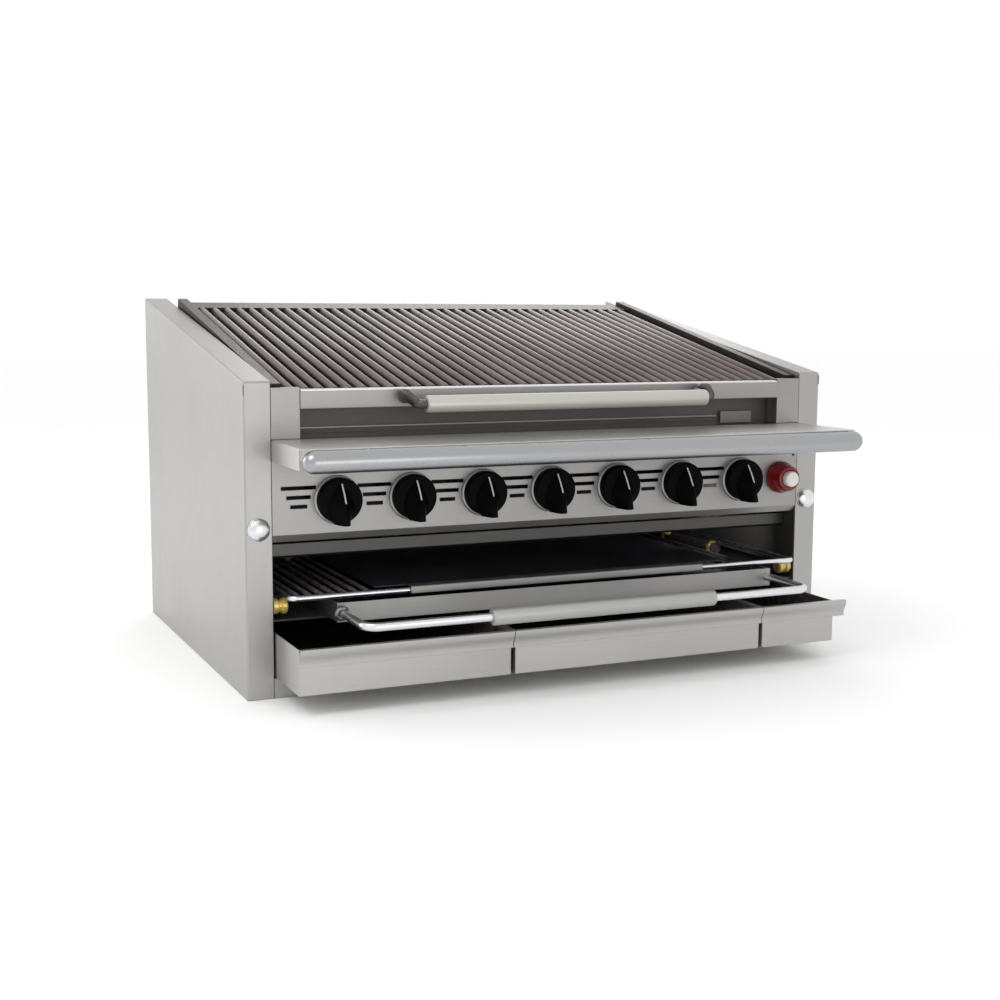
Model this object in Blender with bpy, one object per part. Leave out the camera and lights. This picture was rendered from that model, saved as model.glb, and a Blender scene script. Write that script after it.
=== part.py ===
"""Countertop gas charbroiler, seven burners, modelled as separate named pieces.

Metres, +Z up. The maker's frame has Y = 0 on the side panels' front faces and
X = 0 in the middle. One empty shifts that frame so that the finished grill is
centred on the world origin and stands on Z = 0.
"""
import math

import bmesh
import bpy
from mathutils import Matrix, Vector

# ---------------------------------------------------------------- dimensions
WIDTH = 0.914
DEPTH = 0.633
PANEL = 0.0365            # double-walled side panel, over both skins
FRONT_HEIGHT = 0.4276
REAR_HEIGHT = 0.536
SHEET = 0.0015            # stainless sheet
GAP = 0.0003              # between pieces that touch
CUT = 0.010               # how far a cutter stands out of each side of a sheet
INNER = WIDTH / 2 - PANEL
FIT = INNER - 0.0007      # half-width of what stands between the side panels

FRONT_REACH = 0.161       # front of the lower handle's grip
REAR_REACH = 0.655        # end of the gas inlet

BURNERS = 7
BURNER_PITCH = 0.1076
FIRST_BURNER_X = -0.3293
VALVE_Z = 0.2668

GRID_TILT = math.atan(0.2052)
GRID_FRONT = Vector((0.0, 0.015, 0.4183))   # front end of the grid's top face
GRID_LENGTH = 0.556
ROD_COUNT = 39
ROD_PITCH = 0.02035
ROD_RADIUS = 0.00635

RACK_Z = 0.139
RACK_HALF = 0.4015        # middle of the outer bars
RACK_BAR = 0.004
RACK_WIRE = 0.003
RACK_FRONT_Y = -0.024
RACK_REAR_Y = 0.520
GUIDE_FRONT_Y = 0.190
GUIDE_REAR_Y = 0.358

TRAY_HALF = 0.345
TRAY_FRONT_Y = -0.045
TRAY_REAR_Y = 0.480
TRAY_LOW = 0.107
TRAY_HIGH = 0.1335

DRAWER_FRONT_Y = -0.1085
DRAWER_REAR_Y = 0.560
DRAWER_LOW = 0.0285
DRAWER_HIGH = 0.0895
DRAWERS_HALF = 0.418
DRAWER_SPANS = {
    "left": (-DRAWERS_HALF, -0.1150),
    "centre": (-0.1144, 0.2878),
    "right": (0.2884, DRAWERS_HALF),
}
SEAM_INSET = 0.0024       # how far a drawer's wall stands back from its lip's end

SHELF_TOP = 0.3503
SHELF_REACH = 0.141
TUBE_RADIUS = 0.0147

FEED_X = 0.398            # gas pipe, along the right-hand wall
MANIFOLD_Y = 0.028
MANIFOLD_Z = 0.240
PIPE_RADIUS = 0.010
IGNITER_X = 0.3885

PANEL_SKIN = 0.0024       # wall of a side panel
LEDGE_REAR_Y = 0.560      # rear end of the ledges inside the side panels
BEHIND_WALL_Y = 0.100     # rear wall of the valve compartment
GRID_REAR_LOCAL = 0.513   # rear flat bar, along the grid
PIVOT_LOCAL = Vector((0.0, 0.540, -0.0213))

# name: colour, roughness, metallic
FINISHES = {
    "stainless": ((0.52, 0.51, 0.49), 0.34, 1.0),
    "polished": ((0.80, 0.81, 0.83), 0.14, 1.0),
    "broiler_steel": ((0.20, 0.17, 0.16), 0.48, 1.0),
    "grip_steel": ((0.72, 0.73, 0.69), 0.38, 0.6),
    "black_enamel": ((0.010, 0.011, 0.013), 0.30, 0.0),
    "knob_black": ((0.008, 0.008, 0.008), 0.32, 0.0),
    "brass": ((0.55, 0.40, 0.12), 0.30, 1.0),
    "iron_pipe": ((0.045, 0.035, 0.040), 0.55, 0.8),
    "burner_steel": ((0.25, 0.23, 0.21), 0.50, 1.0),
    "signal_red": ((0.30, 0.015, 0.012), 0.30, 0.0),
    "button_white": ((0.85, 0.84, 0.80), 0.35, 0.0),
}


# ------------------------------------------------------------------- helpers
def clear_scene():
    for item in list(bpy.data.objects):
        bpy.data.objects.remove(item, do_unlink=True)


def finish(name):
    """The named finish as a Principled material, made once."""
    if name in bpy.data.materials:
        return bpy.data.materials[name]
    colour, roughness, metallic = FINISHES[name]
    material = bpy.data.materials.new(name)
    material.use_nodes = True
    shader = material.node_tree.nodes["Principled BSDF"]
    shader.inputs["Base Color"].default_value = (*colour, 1.0)
    shader.inputs["Roughness"].default_value = roughness
    shader.inputs["Metallic"].default_value = metallic
    material.diffuse_color = (*colour, 1.0)
    return material


def maker_frame():
    """The empty that carries the maker's frame."""
    frame = bpy.data.objects.new("maker_frame", None)
    frame.location.y = (FRONT_REACH - REAR_REACH) / 2
    bpy.context.scene.collection.objects.link(frame)
    return frame


def place(name, data, material, at=(0, 0, 0), smooth=False):
    """An object of its own for some mesh or curve data."""
    item = bpy.data.objects.new(name, data)
    bpy.context.scene.collection.objects.link(item)
    item.parent = bpy.data.objects["maker_frame"]
    item.location = at
    if not data.materials:
        data.materials.append(finish(material))
    if smooth:
        data.shade_smooth()
        data.set_sharp_from_angle(angle=math.radians(35))
    return item


def solid(name, bm, material, at=(0, 0, 0), smooth=False):
    """An object from a bmesh, its faces turned outwards."""
    bmesh.ops.recalc_face_normals(bm, faces=bm.faces)
    mesh = bpy.data.meshes.new(name)
    bm.to_mesh(mesh)
    bm.free()
    return place(name, mesh, material, at, smooth)


def combine(target, operation, *bms):
    """Unions or subtracts each bmesh, in turn, and keeps the evaluated mesh."""
    for bm in bms:
        tool = solid("tool", bm, "stainless")
        modifier = target.modifiers.new("cut", "BOOLEAN")
        modifier.operation = operation
        modifier.solver = "EXACT"
        modifier.object = tool
        bpy.context.view_layer.update()
        depsgraph = bpy.context.evaluated_depsgraph_get()
        mesh = bpy.data.meshes.new_from_object(target.evaluated_get(depsgraph))
        mesh.name = target.name
        target.modifiers.clear()
        target.data = mesh
        bpy.data.objects.remove(tool, do_unlink=True)
    return target


def add_box(bm, low, high):
    """Adds a box between two corners."""
    low, high = Vector(low), Vector(high)
    scale = Matrix.Diagonal((*(high - low), 1.0))
    middle = Matrix.Translation((low + high) / 2)
    bmesh.ops.create_cube(bm, size=1.0, matrix=middle @ scale)


def boxes(*pairs):
    bm = bmesh.new()
    for low, high in pairs:
        add_box(bm, low, high)
    return bm


def add_bar(bm, start, end, radius, sides=8):
    """Adds a capped round bar from start to end."""
    start, end = Vector(start), Vector(end)
    along = end - start
    turn = along.to_track_quat("Z", "Y").to_matrix().to_4x4()
    spin = Matrix.Rotation(math.pi / sides, 4, "Z")
    matrix = Matrix.Translation((start + end) / 2) @ turn @ spin
    bmesh.ops.create_cone(
        bm,
        cap_ends=True,
        segments=sides,
        radius1=radius,
        radius2=radius,
        depth=along.length,
        matrix=matrix,
    )


def bars(radius, ends, sides=8):
    bm = bmesh.new()
    for start, end in ends:
        add_bar(bm, start, end, radius, sides)
    return bm


def extrusion(outline, low_x, high_x):
    """A closed (y, z) outline carried along X."""
    bm = bmesh.new()
    near = [bm.verts.new((low_x, y, z)) for y, z in outline]
    far = [bm.verts.new((high_x, y, z)) for y, z in outline]
    bm.faces.new(near)
    bm.faces.new(reversed(far))
    count = len(outline)
    for i in range(count):
        j = (i + 1) % count
        bm.faces.new((near[i], near[j], far[j], far[i]))
    return bm


def folded(points, thickness=SHEET):
    """The closed outline of a folded sheet, whose outer face follows the points."""
    points = [Vector(point) for point in points]
    normals = []
    for a, b in zip(points, points[1:]):
        along = (b - a).normalized()
        normals.append(Vector((-along.y, along.x)))
    inner = [points[0] + normals[0] * thickness]
    for point, before, after in zip(points[1:], normals, normals[1:]):
        mean = (before + after).normalized()
        inner.append(point + mean * (thickness / mean.dot(before)))
    inner.append(points[-1] + normals[-1] * thickness)
    return [tuple(point) for point in points + inner[::-1]]


def turned(profile, segments=24):
    """A solid of revolution about -Y: the profile holds (radius, reach) pairs."""
    bm = bmesh.new()
    rings = []
    for radius, reach in profile:
        if radius == 0:
            rings.append([bm.verts.new((0, -reach, 0))])
            continue
        ring = []
        for i in range(segments):
            angle = 2 * math.pi * i / segments
            x, z = radius * math.cos(angle), radius * math.sin(angle)
            ring.append(bm.verts.new((x, -reach, z)))
        rings.append(ring)
    for a, b in zip(rings, rings[1:]):
        for i in range(segments):
            j = (i + 1) % segments
            corners = [a[i % len(a)], a[j % len(a)], b[j % len(b)], b[i % len(b)]]
            bm.faces.new(list(dict.fromkeys(corners)))
    if len(rings[0]) > 1 and len(rings[-1]) > 1 and profile[0] != profile[-1]:
        bm.faces.new(rings[0])
        bm.faces.new(rings[-1])
    bmesh.ops.remove_doubles(bm, verts=bm.verts, dist=1e-6)
    return bm


def sleeve(outer, inner, low_x, high_x, segments=16):
    """A straight tube along X."""
    half = (high_x - low_x) / 2
    corners = [(inner, -half), (outer, -half), (outer, half), (inner, half), (inner, -half)]
    bm = turned(corners, segments)
    turn = Matrix.Rotation(math.pi / 2, 4, "Z")
    shift = Matrix.Translation(((low_x + high_x) / 2, 0, 0))
    bmesh.ops.transform(bm, matrix=shift @ turn, verts=bm.verts)
    return bm


def rounded(points, radius, steps=4):
    """The points with each inner corner turned into an arc."""
    points = [Vector(point) for point in points]
    route = [points[0]]
    for before, corner, after in zip(points, points[1:], points[2:]):
        a = (before - corner).normalized()
        b = (after - corner).normalized()
        half = a.angle(b) / 2
        cut = radius / math.tan(half)
        centre = corner + (a + b).normalized() * (radius / math.sin(half))
        start = (corner + a * cut - centre).normalized()
        end = (corner + b * cut - centre).normalized()
        for i in range(steps + 1):
            route.append(centre + start.slerp(end, i / steps) * radius)
    route.append(points[-1])
    return route


def bent_rod(name, points, radius, bend, material, at=(0, 0, 0)):
    """A round rod or pipe along a bent route, as a bevelled curve."""
    curve = bpy.data.curves.new(name, "CURVE")
    curve.dimensions = "3D"
    curve.bevel_depth = radius
    curve.bevel_resolution = 2
    curve.use_fill_caps = True
    route = rounded(points, bend)
    spline = curve.splines.new("POLY")
    spline.points.add(len(route) - 1)
    for point, place_on_route in zip(spline.points, route):
        point.co = (*place_on_route, 1.0)
    spline.use_smooth = True
    return place(name, curve, material, at)


def open_pan(low, high, wall):
    """A tray open at the top, one closed shell."""
    bm = bmesh.new()
    outer = [low, high]
    inner = [
        (low[0] + wall, low[1] + wall, low[2] + wall),
        (high[0] - wall, high[1] - wall, high[2]),
    ]
    corners = ((0, 0), (1, 0), (1, 1), (0, 1))

    def ring(box, z):
        return [bm.verts.new((box[i][0], box[j][1], z)) for i, j in corners]

    rings = [
        ring(outer, low[2]),
        ring(outer, high[2]),
        ring(inner, high[2]),
        ring(inner, low[2] + wall),
    ]
    bm.faces.new(rings[0])
    bm.faces.new(rings[-1])
    for a, b in zip(rings, rings[1:]):
        for i in range(4):
            j = (i + 1) % 4
            bm.faces.new((a[i], a[j], b[j], b[i]))
    return bm


def burner_x(index):
    return FIRST_BURNER_X + index * BURNER_PITCH


def burner_places():
    """(x, z) of each burner's axis."""
    return [(burner_x(i), VALVE_Z) for i in range(BURNERS)]


def wall_holes(radius, wall_y, places, sides):
    """Round cutters along Y, through a wall at that depth."""
    ends = [((x, wall_y - CUT, z), (x, wall_y + CUT, z)) for x, z in places]
    return bars(radius, ends, sides)


# ------------------------------------------------------------ casing and frame
def side_panel(name, side):
    """A double-walled panel, open underneath, with the ledges inside it."""
    outline = [(0, 0), (DEPTH, 0), (DEPTH, REAR_HEIGHT), (0, FRONT_HEIGHT)]
    outer = extrusion(outline, side * INNER, side * WIDTH / 2)
    bend = [
        edge
        for edge in outer.edges
        if any(vert.co.z > FRONT_HEIGHT / 2 for vert in edge.verts)
        and not all(abs(vert.co.x) < INNER + SHEET for vert in edge.verts)
    ]
    bmesh.ops.bevel(outer, geom=bend, offset=0.0022, segments=2, affect="EDGES", profile=0.5)
    panel = solid(name, outer, "stainless")
    below = -0.01
    hollow = [
        (PANEL_SKIN, below),
        (DEPTH - PANEL_SKIN, below),
        (DEPTH - PANEL_SKIN, REAR_HEIGHT - PANEL_SKIN * 1.3),
        (PANEL_SKIN, FRONT_HEIGHT - PANEL_SKIN),
    ]
    inside = extrusion(hollow, side * (INNER + PANEL_SKIN), side * (WIDTH / 2 - PANEL_SKIN))
    combine(panel, "DIFFERENCE", inside)
    rack_top = RACK_Z - RACK_BAR - GAP
    ledges = [
        ((0.400, 0.030, 0.1310), (INNER + SHEET, GUIDE_FRONT_Y - 0.004, rack_top)),
        ((0.400, GUIDE_REAR_Y + 0.004, 0.1310), (INNER + SHEET, LEDGE_REAR_Y, rack_top)),
        ((0.336, 0.005, 0.1040), (INNER + SHEET, LEDGE_REAR_Y, TRAY_LOW - 0.0005)),
    ]
    for low, high in ledges:
        xs = sorted((side * low[0], side * high[0]))
        combine(panel, "UNION", boxes(((xs[0], *low[1:]), (xs[1], *high[1:]))))
    return panel


def back_panel():
    """Rear sheet with a top fold, two inner ledges and the gas inlet's hole."""
    wall, fold_y, top = DEPTH - 0.003, 0.588, 0.515
    section = folded([(wall, 0.003), (wall, top), (fold_y, top), (fold_y, 0.500)])
    panel = solid("back_panel", extrusion(section, -FIT, FIT), "stainless")
    ledges = boxes(
        ((-FIT, 0.545, 0.3428), (FIT, wall - SHEET / 2, 0.3445)),
        ((-FIT, 0.590, 0.2480), (0.375, wall - SHEET / 2, 0.2500)),
    )
    combine(panel, "UNION", ledges)
    return combine(panel, "DIFFERENCE", wall_holes(0.0125, wall, [(FEED_X, MANIFOLD_Z)], 16))


def base_frame():
    """Rails under the drawers, with a runner below each seam."""
    low, high = 0.0, 0.027
    wide, rear_y = 0.014, 0.600
    rails = boxes(
        ((-FIT, 0.0, low), (FIT, wide, high)),
        ((-FIT, rear_y, low), (FIT, rear_y + wide, high)),
    )
    frame = solid("base_frame", rails, "stainless")
    runners = [(-FIT, -0.410), (-0.1210, -0.1084), (0.2820, 0.2946), (0.410, FIT)]
    spans = [((a, wide / 2, low), (b, rear_y + wide / 2, high)) for a, b in runners]
    return combine(frame, "UNION", boxes(*spans))


def upper_front_frame():
    """Uprights beside the grid's front rail, and the stepped wall behind them."""
    shield_y, step_z, shield_top = 0.034, 0.343, 0.4015
    step = [(shield_y, shield_top), (shield_y, step_z)]
    step += [(BEHIND_WALL_Y, step_z), (BEHIND_WALL_Y, 0.218)]
    frame = solid("upper_front_frame", extrusion(folded(step), -FIT, FIT), "stainless")
    low, high, inner_x = SHELF_TOP + GAP, 0.419, 0.380
    into_wall = 0.0345
    for side in (-1, 1):
        def flipped(box):
            (x0, y0, z0), (x1, y1, z1) = box
            a, b = sorted((side * x0, side * x1))
            return (a, y0, z0), (b, y1, z1)

        combine(
            frame,
            "UNION",
            boxes(flipped(((inner_x, 0, low), (inner_x + SHEET, into_wall, shield_top)))),
            boxes(flipped(((inner_x, 0, low), (FIT, SHEET, high)))),
            boxes(flipped(((inner_x, 0, high - SHEET), (FIT, 0.012, high)))),
        )
    rib = boxes(((-0.3795, 0.0305, 0.3552), (0.2900, into_wall, 0.3574)))
    plate = boxes(((0.2960, 0.0285, 0.3508), (0.3520, into_wall, 0.3690)))
    combine(frame, "UNION", rib, plate)
    combine(frame, "DIFFERENCE", wall_holes(0.0175, BEHIND_WALL_Y, burner_places(), 12))
    pipe_place = [(FEED_X, MANIFOLD_Z)]
    return combine(frame, "DIFFERENCE", wall_holes(0.0115, BEHIND_WALL_Y, pipe_place, 12))


def control_panel():
    """Front panel with seven shaft holes, the igniter's hole and the vents."""
    section = [(0.020, 0.3475), (0.0, 0.3475), (0.0, 0.222), (0.006, 0.212), (0.024, 0.212)]
    panel = solid("control_panel", extrusion(folded(section), -FIT, FIT), "stainless")
    combine(panel, "DIFFERENCE", wall_holes(0.0055, 0.0, burner_places(), 12))
    combine(panel, "DIFFERENCE", wall_holes(0.0125, 0.0, [(IGNITER_X, VALVE_Z)], 16))
    slots = bmesh.new()
    half_height = 0.0025
    for x, _ in burner_places():
        middle = x - BURNER_PITCH / 2
        for width, z in ((0.0490, 0.2845), (0.0340, 0.2717), (0.0235, 0.2592)):
            low = (middle - width / 2, -CUT, z - half_height)
            high = (middle + width / 2, CUT, z + half_height)
            add_box(slots, low, high)
    return combine(panel, "DIFFERENCE", slots)


def heat_baffle():
    section = folded([(0.052, 0.2053), (0.030, 0.2053), (0.030, 0.189), (0.036, 0.185)])
    return solid("heat_baffle", extrusion(section, -FIT, FIT), "stainless")


def work_shelf():
    """Flat landing shelf with closed ends, carried on the front of the casing."""
    back_y, back_low = -0.0006, 0.322
    section = folded([(back_y, back_low), (back_y, SHELF_TOP), (-SHELF_REACH, SHELF_TOP)])
    shelf = solid("work_shelf", extrusion(section, -FIT, FIT), "stainless")
    end_rear, end_front = back_y - 0.0004, TUBE_RADIUS + 0.0008 - SHELF_REACH
    end = [
        (end_rear, back_low),
        (end_rear, SHELF_TOP - SHEET / 2),
        (end_front, SHELF_TOP - SHEET / 2),
        (end_front, back_low - 0.0015),
    ]
    for side in (-1, 1):
        combine(shelf, "UNION", extrusion(end, side * (FIT - SHEET), side * FIT))
    return shelf


def shelf_bullnose():
    """Round front edge of the shelf, with domed ends."""
    low_x, high_x, steps = -0.4195, 0.4310, 5
    straight = (high_x - low_x) / 2 - TUBE_RADIUS
    profile = [(0, -straight - TUBE_RADIUS)]
    for i in range(1, steps + 1):
        angle = math.pi / 2 * i / steps
        reach = straight + TUBE_RADIUS * math.cos(angle)
        profile.append((TUBE_RADIUS * math.sin(angle), -reach))
    profile += [(radius, -reach) for radius, reach in reversed(profile)]
    bm = turned(profile, 20)
    bmesh.ops.transform(bm, matrix=Matrix.Rotation(math.pi / 2, 4, "Z"), verts=bm.verts)
    centre = ((low_x + high_x) / 2, -SHELF_REACH, SHELF_TOP - SHEET - GAP - TUBE_RADIUS)
    return solid("shelf_bullnose", bm, "polished", centre, smooth=True)


def plug_button(name, side):
    """Domed chrome plug in the side panel's front face."""
    radius, rise, steps = 0.0155, 0.0085, 4
    profile = [(radius * 0.72, 0.0), (radius, 0.0015)]
    for i in range(1, steps + 1):
        angle = math.pi / 2 * i / steps
        profile.append((radius * math.cos(angle), 0.0015 + rise * math.sin(angle)))
    profile[-1] = (0, profile[-1][1])
    at = (side * (INNER + PANEL / 2), -GAP, 0.231)
    bm = turned(profile, 20)
    back = [vert for vert in bm.verts if abs(vert.co.y) < 1e-9]
    bm.faces.new(sorted(back, key=lambda vert: math.atan2(vert.co.z, vert.co.x)))
    return solid(name, bm, "polished", at, smooth=True)


# ------------------------------------------------------------------- gas train
def gas_manifold():
    points = [
        (-0.400, MANIFOLD_Y, MANIFOLD_Z),
        (FEED_X, MANIFOLD_Y, MANIFOLD_Z),
        (FEED_X, 0.062, MANIFOLD_Z),
    ]
    return bent_rod("gas_manifold", points, PIPE_RADIUS, 0.014, "iron_pipe")


def gas_feed_pipe():
    """Pipe from the inlet behind, along the right-hand wall to the manifold."""
    ends = [((FEED_X, 0.062 + GAP, MANIFOLD_Z), (FEED_X, REAR_REACH, MANIFOLD_Z))]
    return solid("gas_feed_pipe", bars(PIPE_RADIUS, ends, 12), "iron_pipe", smooth=True)


def gas_valves():
    """Seven brass taps on the manifold, their orifices pointing into the burners."""
    body = [(0.0, -0.058), (0.0045, -0.058), (0.0060, -0.045), (0.0105, -0.043)]
    body += [(0.0110, -0.020), (0.0080, -0.018), (0.0080, -0.012), (0.0, -0.012)]
    first = solid("gas_valve_1", turned(body, 12), "brass", (burner_x(0), 0, VALVE_Z))
    drop = VALVE_Z - MANIFOLD_Z - PIPE_RADIUS - GAP
    neck = bars(0.0055, [((0, MANIFOLD_Y, -0.004), (0, MANIFOLD_Y, -drop))], 10)
    bmesh.ops.translate(neck, vec=first.location, verts=neck.verts)
    combine(first, "UNION", neck)
    for i in range(1, BURNERS):
        place(f"gas_valve_{i + 1}", first.data, "brass", (burner_x(i), 0, VALVE_Z))


def burners():
    """Seven straight tube burners, open at the front for gas and air."""
    outer, inner = 0.016, 0.0138
    front, rear = 0.062, 0.600
    profile = [(0, -rear), (outer, -rear), (outer, -front), (inner, -front)]
    profile += [(inner, -rear + 0.003), (0, -rear + 0.003)]
    bm = turned(profile, 12)
    first = solid("burner_1", bm, "burner_steel", (burner_x(0), 0, VALVE_Z), smooth=True)
    for i in range(1, BURNERS):
        place(f"burner_{i + 1}", first.data, "burner_steel", (burner_x(i), 0, VALVE_Z))


def radiants():
    """Seven inverted-V heat spreaders over the burners."""
    half, low, apex = 0.042, 0.3449, 0.385
    outline = [
        (-half, low),
        (-half + 0.006, low),
        (0.0, apex - 0.0035),
        (half - 0.006, low),
        (half, low),
        (half * 0.96, low + 0.004),
        (0.004, apex),
        (-0.004, apex),
        (-half * 0.96, low + 0.004),
    ]
    bm = extrusion(outline, -0.560, -0.042)
    bmesh.ops.transform(bm, matrix=Matrix.Rotation(-math.pi / 2, 4, "Z"), verts=bm.verts)
    first = solid("radiant_1", bm, "burner_steel", (burner_x(0), 0, 0))
    for i in range(1, BURNERS):
        place(f"radiant_{i + 1}", first.data, "burner_steel", (burner_x(i), 0, 0))


# -------------------------------------------------------------------- controls
def knobs():
    """Round drum with a wedge-shaped grip bar across it, and the shaft behind."""
    back, drum, front = 0.0045, 0.031, 0.0185
    profile = [
        (0.0, -0.0117),
        (0.0040, -0.0117),
        (0.0040, back),
        (drum - 0.001, back),
        (drum, back + 0.0015),
        (drum, front - 0.0020),
        (drum - 0.0015, front),
        (0.0, front),
    ]
    at = (burner_x(0), 0, VALVE_Z)
    first = solid("knob_1", turned(profile, 28), "knob_black", at, smooth=True)
    # (z, reach) of the bar seen from the side: its ridge slopes out towards the bottom
    root, ridge = 0.0155, 0.0455
    side_view = [
        (0.0285, root),
        (0.0240, 0.0205),
        (-0.0015, 0.0385),
        (-0.0240, ridge),
        (-0.0320, 0.0445),
        (-0.0325, root),
    ]
    root_half, ridge_half = 0.0090, 0.0044
    taper = (root_half - ridge_half) / (ridge - root)
    grip = bmesh.new()
    flanks = []
    for side in (-1, 1):
        flank = []
        for z, reach in side_view:
            half = root_half - taper * (reach - root)
            flank.append(grip.verts.new((side * half, -reach, z)))
        flanks.append(flank)
    left, right = flanks
    grip.faces.new(left)
    grip.faces.new(reversed(right))
    for i in range(len(side_view)):
        j = (i + 1) % len(side_view)
        grip.faces.new((left[i], left[j], right[j], right[i]))
    bmesh.ops.translate(grip, vec=at, verts=grip.verts)
    combine(first, "UNION", grip)
    first.data.set_sharp_from_angle(angle=math.radians(35))
    for i in range(1, BURNERS):
        place(f"knob_{i + 1}", first.data, "knob_black", (burner_x(i), 0, VALVE_Z))


def igniter():
    """Red collar in the panel, and the white push button that runs in it."""
    bore = 0.0123
    collar = [(bore, GAP), (0.0245, GAP), (0.0245, 0.008), (0.0215, 0.015)]
    collar += [(0.0190, 0.0265), (0.0170, 0.028), (bore, 0.028), (bore, GAP)]
    at = (IGNITER_X, 0, VALVE_Z)
    solid("igniter_collar", turned(collar, 24), "signal_red", at, smooth=True)
    button = [(0.0, -0.016), (0.0060, -0.016), (0.0060, 0.010), (0.0118, 0.010)]
    button += [(0.0118, 0.034), (0.0100, 0.036), (0.0, 0.036)]
    solid("igniter_button", turned(button, 20), "button_white", at, smooth=True)


# ------------------------------------------------------------------ upper grid
def on_grid(bm):
    """Carries a bmesh from the grid's own frame to the maker's frame."""
    matrix = Matrix.Translation(GRID_FRONT) @ Matrix.Rotation(GRID_TILT, 4, "X")
    bmesh.ops.transform(bm, matrix=matrix, verts=bm.verts)
    return bm


def pivot_point():
    """Middle of the pivot rod, in the maker's frame."""
    matrix = Matrix.Translation(GRID_FRONT) @ Matrix.Rotation(GRID_TILT, 4, "X")
    return matrix @ PIVOT_LOCAL


def hung_on_pivot(item):
    """Moves an object's origin onto the pivot's axis and leaves its mesh in place."""
    pivot = pivot_point()
    if isinstance(item.data, bpy.types.Mesh):
        item.data.transform(Matrix.Translation(item.location - pivot))
    item.location = pivot
    return item


def top_grid():
    """Round broiling bars welded into one sloping frame."""
    rails = boxes(
        ((-0.418, -0.001, -0.016), (-0.402, GRID_LENGTH, 0.006)),
        ((0.402, -0.001, -0.016), (0.418, GRID_LENGTH, 0.006)),
    )
    grid = solid("top_grid", on_grid(rails), "broiler_steel")
    reach = 0.410
    cross = boxes(
        ((-reach, -0.0005, -0.0158), (reach, 0.009, -0.0075)),
        ((-reach, 0.260, -0.0155), (reach, 0.268, -0.0095)),
        ((-reach, GRID_REAR_LOCAL, -0.0080), (reach, GRID_LENGTH - 0.0005, -0.0002)),
    )
    combine(grid, "UNION", on_grid(cross))
    first = -(ROD_COUNT - 1) / 2 * ROD_PITCH
    rods = []
    for i in range(ROD_COUNT):
        x = first + i * ROD_PITCH
        rods.append(((x, -0.0008, -ROD_RADIUS), (x, GRID_REAR_LOCAL + 0.003, -ROD_RADIUS)))
    combine(grid, "UNION", on_grid(bars(ROD_RADIUS, rods, 8)))
    return hung_on_pivot(grid)


def grid_pivot_rod():
    pivot = pivot_point()
    ends = [((-INNER + 0.0005, 0, 0), (INNER - 0.0005, 0, 0))]
    return solid("grid_pivot_rod", bars(0.005, ends, 12), "burner_steel", pivot, smooth=True)


def grid_front_rail():
    """Folded rail across the front of the grid."""
    section = [(0.012, 0.390), (-0.001, 0.390), (-0.001, 0.4125), (0.003, 0.4165), (0.012, 0.4165)]
    bm = extrusion(folded(section[::-1], 0.002), -0.3795, 0.3795)
    return hung_on_pivot(solid("grid_front_rail", bm, "stainless"))


def grid_handle():
    """Lifting handle: a bent rod, and the grip sleeve on it."""
    half, radius, y, z = 0.2300, 0.0062, -0.050, 0.3965
    pivot = pivot_point()
    points = [(-half, -0.0022, 0.4030), (-half, y, z), (half, y, z), (half, -0.0022, 0.4030)]
    points = [Vector(point) - pivot for point in points]
    bent_rod("grid_handle", points, radius, 0.010, "broiler_steel", pivot)
    grip = sleeve(0.0116, radius + GAP, -0.2195, 0.2195, 16)
    bmesh.ops.translate(grip, vec=(0, y, z), verts=grip.verts)
    hung_on_pivot(solid("grid_grip", grip, "grip_steel", smooth=True))


# --------------------------------------------------------------- lower broiler
def broiler_rack():
    """Sliding rack of round bars; its right-hand bay is open."""
    half, rear = RACK_HALF + RACK_BAR * 0.9, RACK_REAR_Y
    ends = [((-half, y, RACK_Z), (half, y, RACK_Z)) for y in (RACK_FRONT_Y, rear)]
    rack = solid("broiler_rack", bars(RACK_BAR, ends, 8), "polished")
    sides = [((x, RACK_FRONT_Y, RACK_Z), (x, rear, RACK_Z)) for x in (-RACK_HALF, RACK_HALF)]
    combine(rack, "UNION", bars(RACK_BAR * 0.95, sides, 8))
    first, pitch = -0.388, 0.0165
    places = [first + i * pitch for i in range(7)]
    places += [-0.143, 0.0, 0.143, 0.285]
    wires = [((x, RACK_FRONT_Y, RACK_Z), (x, rear, RACK_Z)) for x in places]
    return combine(rack, "UNION", bars(RACK_WIRE, wires, 6))


def broiler_plate():
    """Black pan on the rack, with a narrower lip hooked over the front bar."""
    low, high = RACK_Z + RACK_BAR + GAP, RACK_Z + RACK_BAR + GAP + 0.0025
    pan = boxes(((-0.281, -0.012, low), (0.281, RACK_REAR_Y - 0.008, high)))
    plate = solid("broiler_plate", pan, "black_enamel")
    section = folded([(-0.005, high), (-0.031, high), (-0.031, 0.1352)], 0.002)
    return combine(plate, "UNION", extrusion(section, -0.234, 0.234))


def drip_tray():
    low = (-TRAY_HALF, TRAY_FRONT_Y, TRAY_LOW)
    high = (TRAY_HALF, TRAY_REAR_Y, TRAY_HIGH)
    return solid("drip_tray", open_pan(low, high, SHEET), "stainless")


def tray_handle():
    """Pull handle of the drip tray: a bent rod, and the grip sleeve on it."""
    half, radius, y, z = 0.340, 0.0056, -0.1495, 0.1205
    start = TRAY_FRONT_Y - GAP
    points = [(-half, start, z), (-half, y, z), (half, y, z), (half, start, z)]
    bent_rod("tray_handle", points, radius, 0.018, "polished")
    grip = sleeve(0.0115, radius + GAP, -0.166, 0.178, 16)
    bmesh.ops.translate(grip, vec=(0, y, z), verts=grip.verts)
    solid("tray_grip", grip, "grip_steel", smooth=True)


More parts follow.
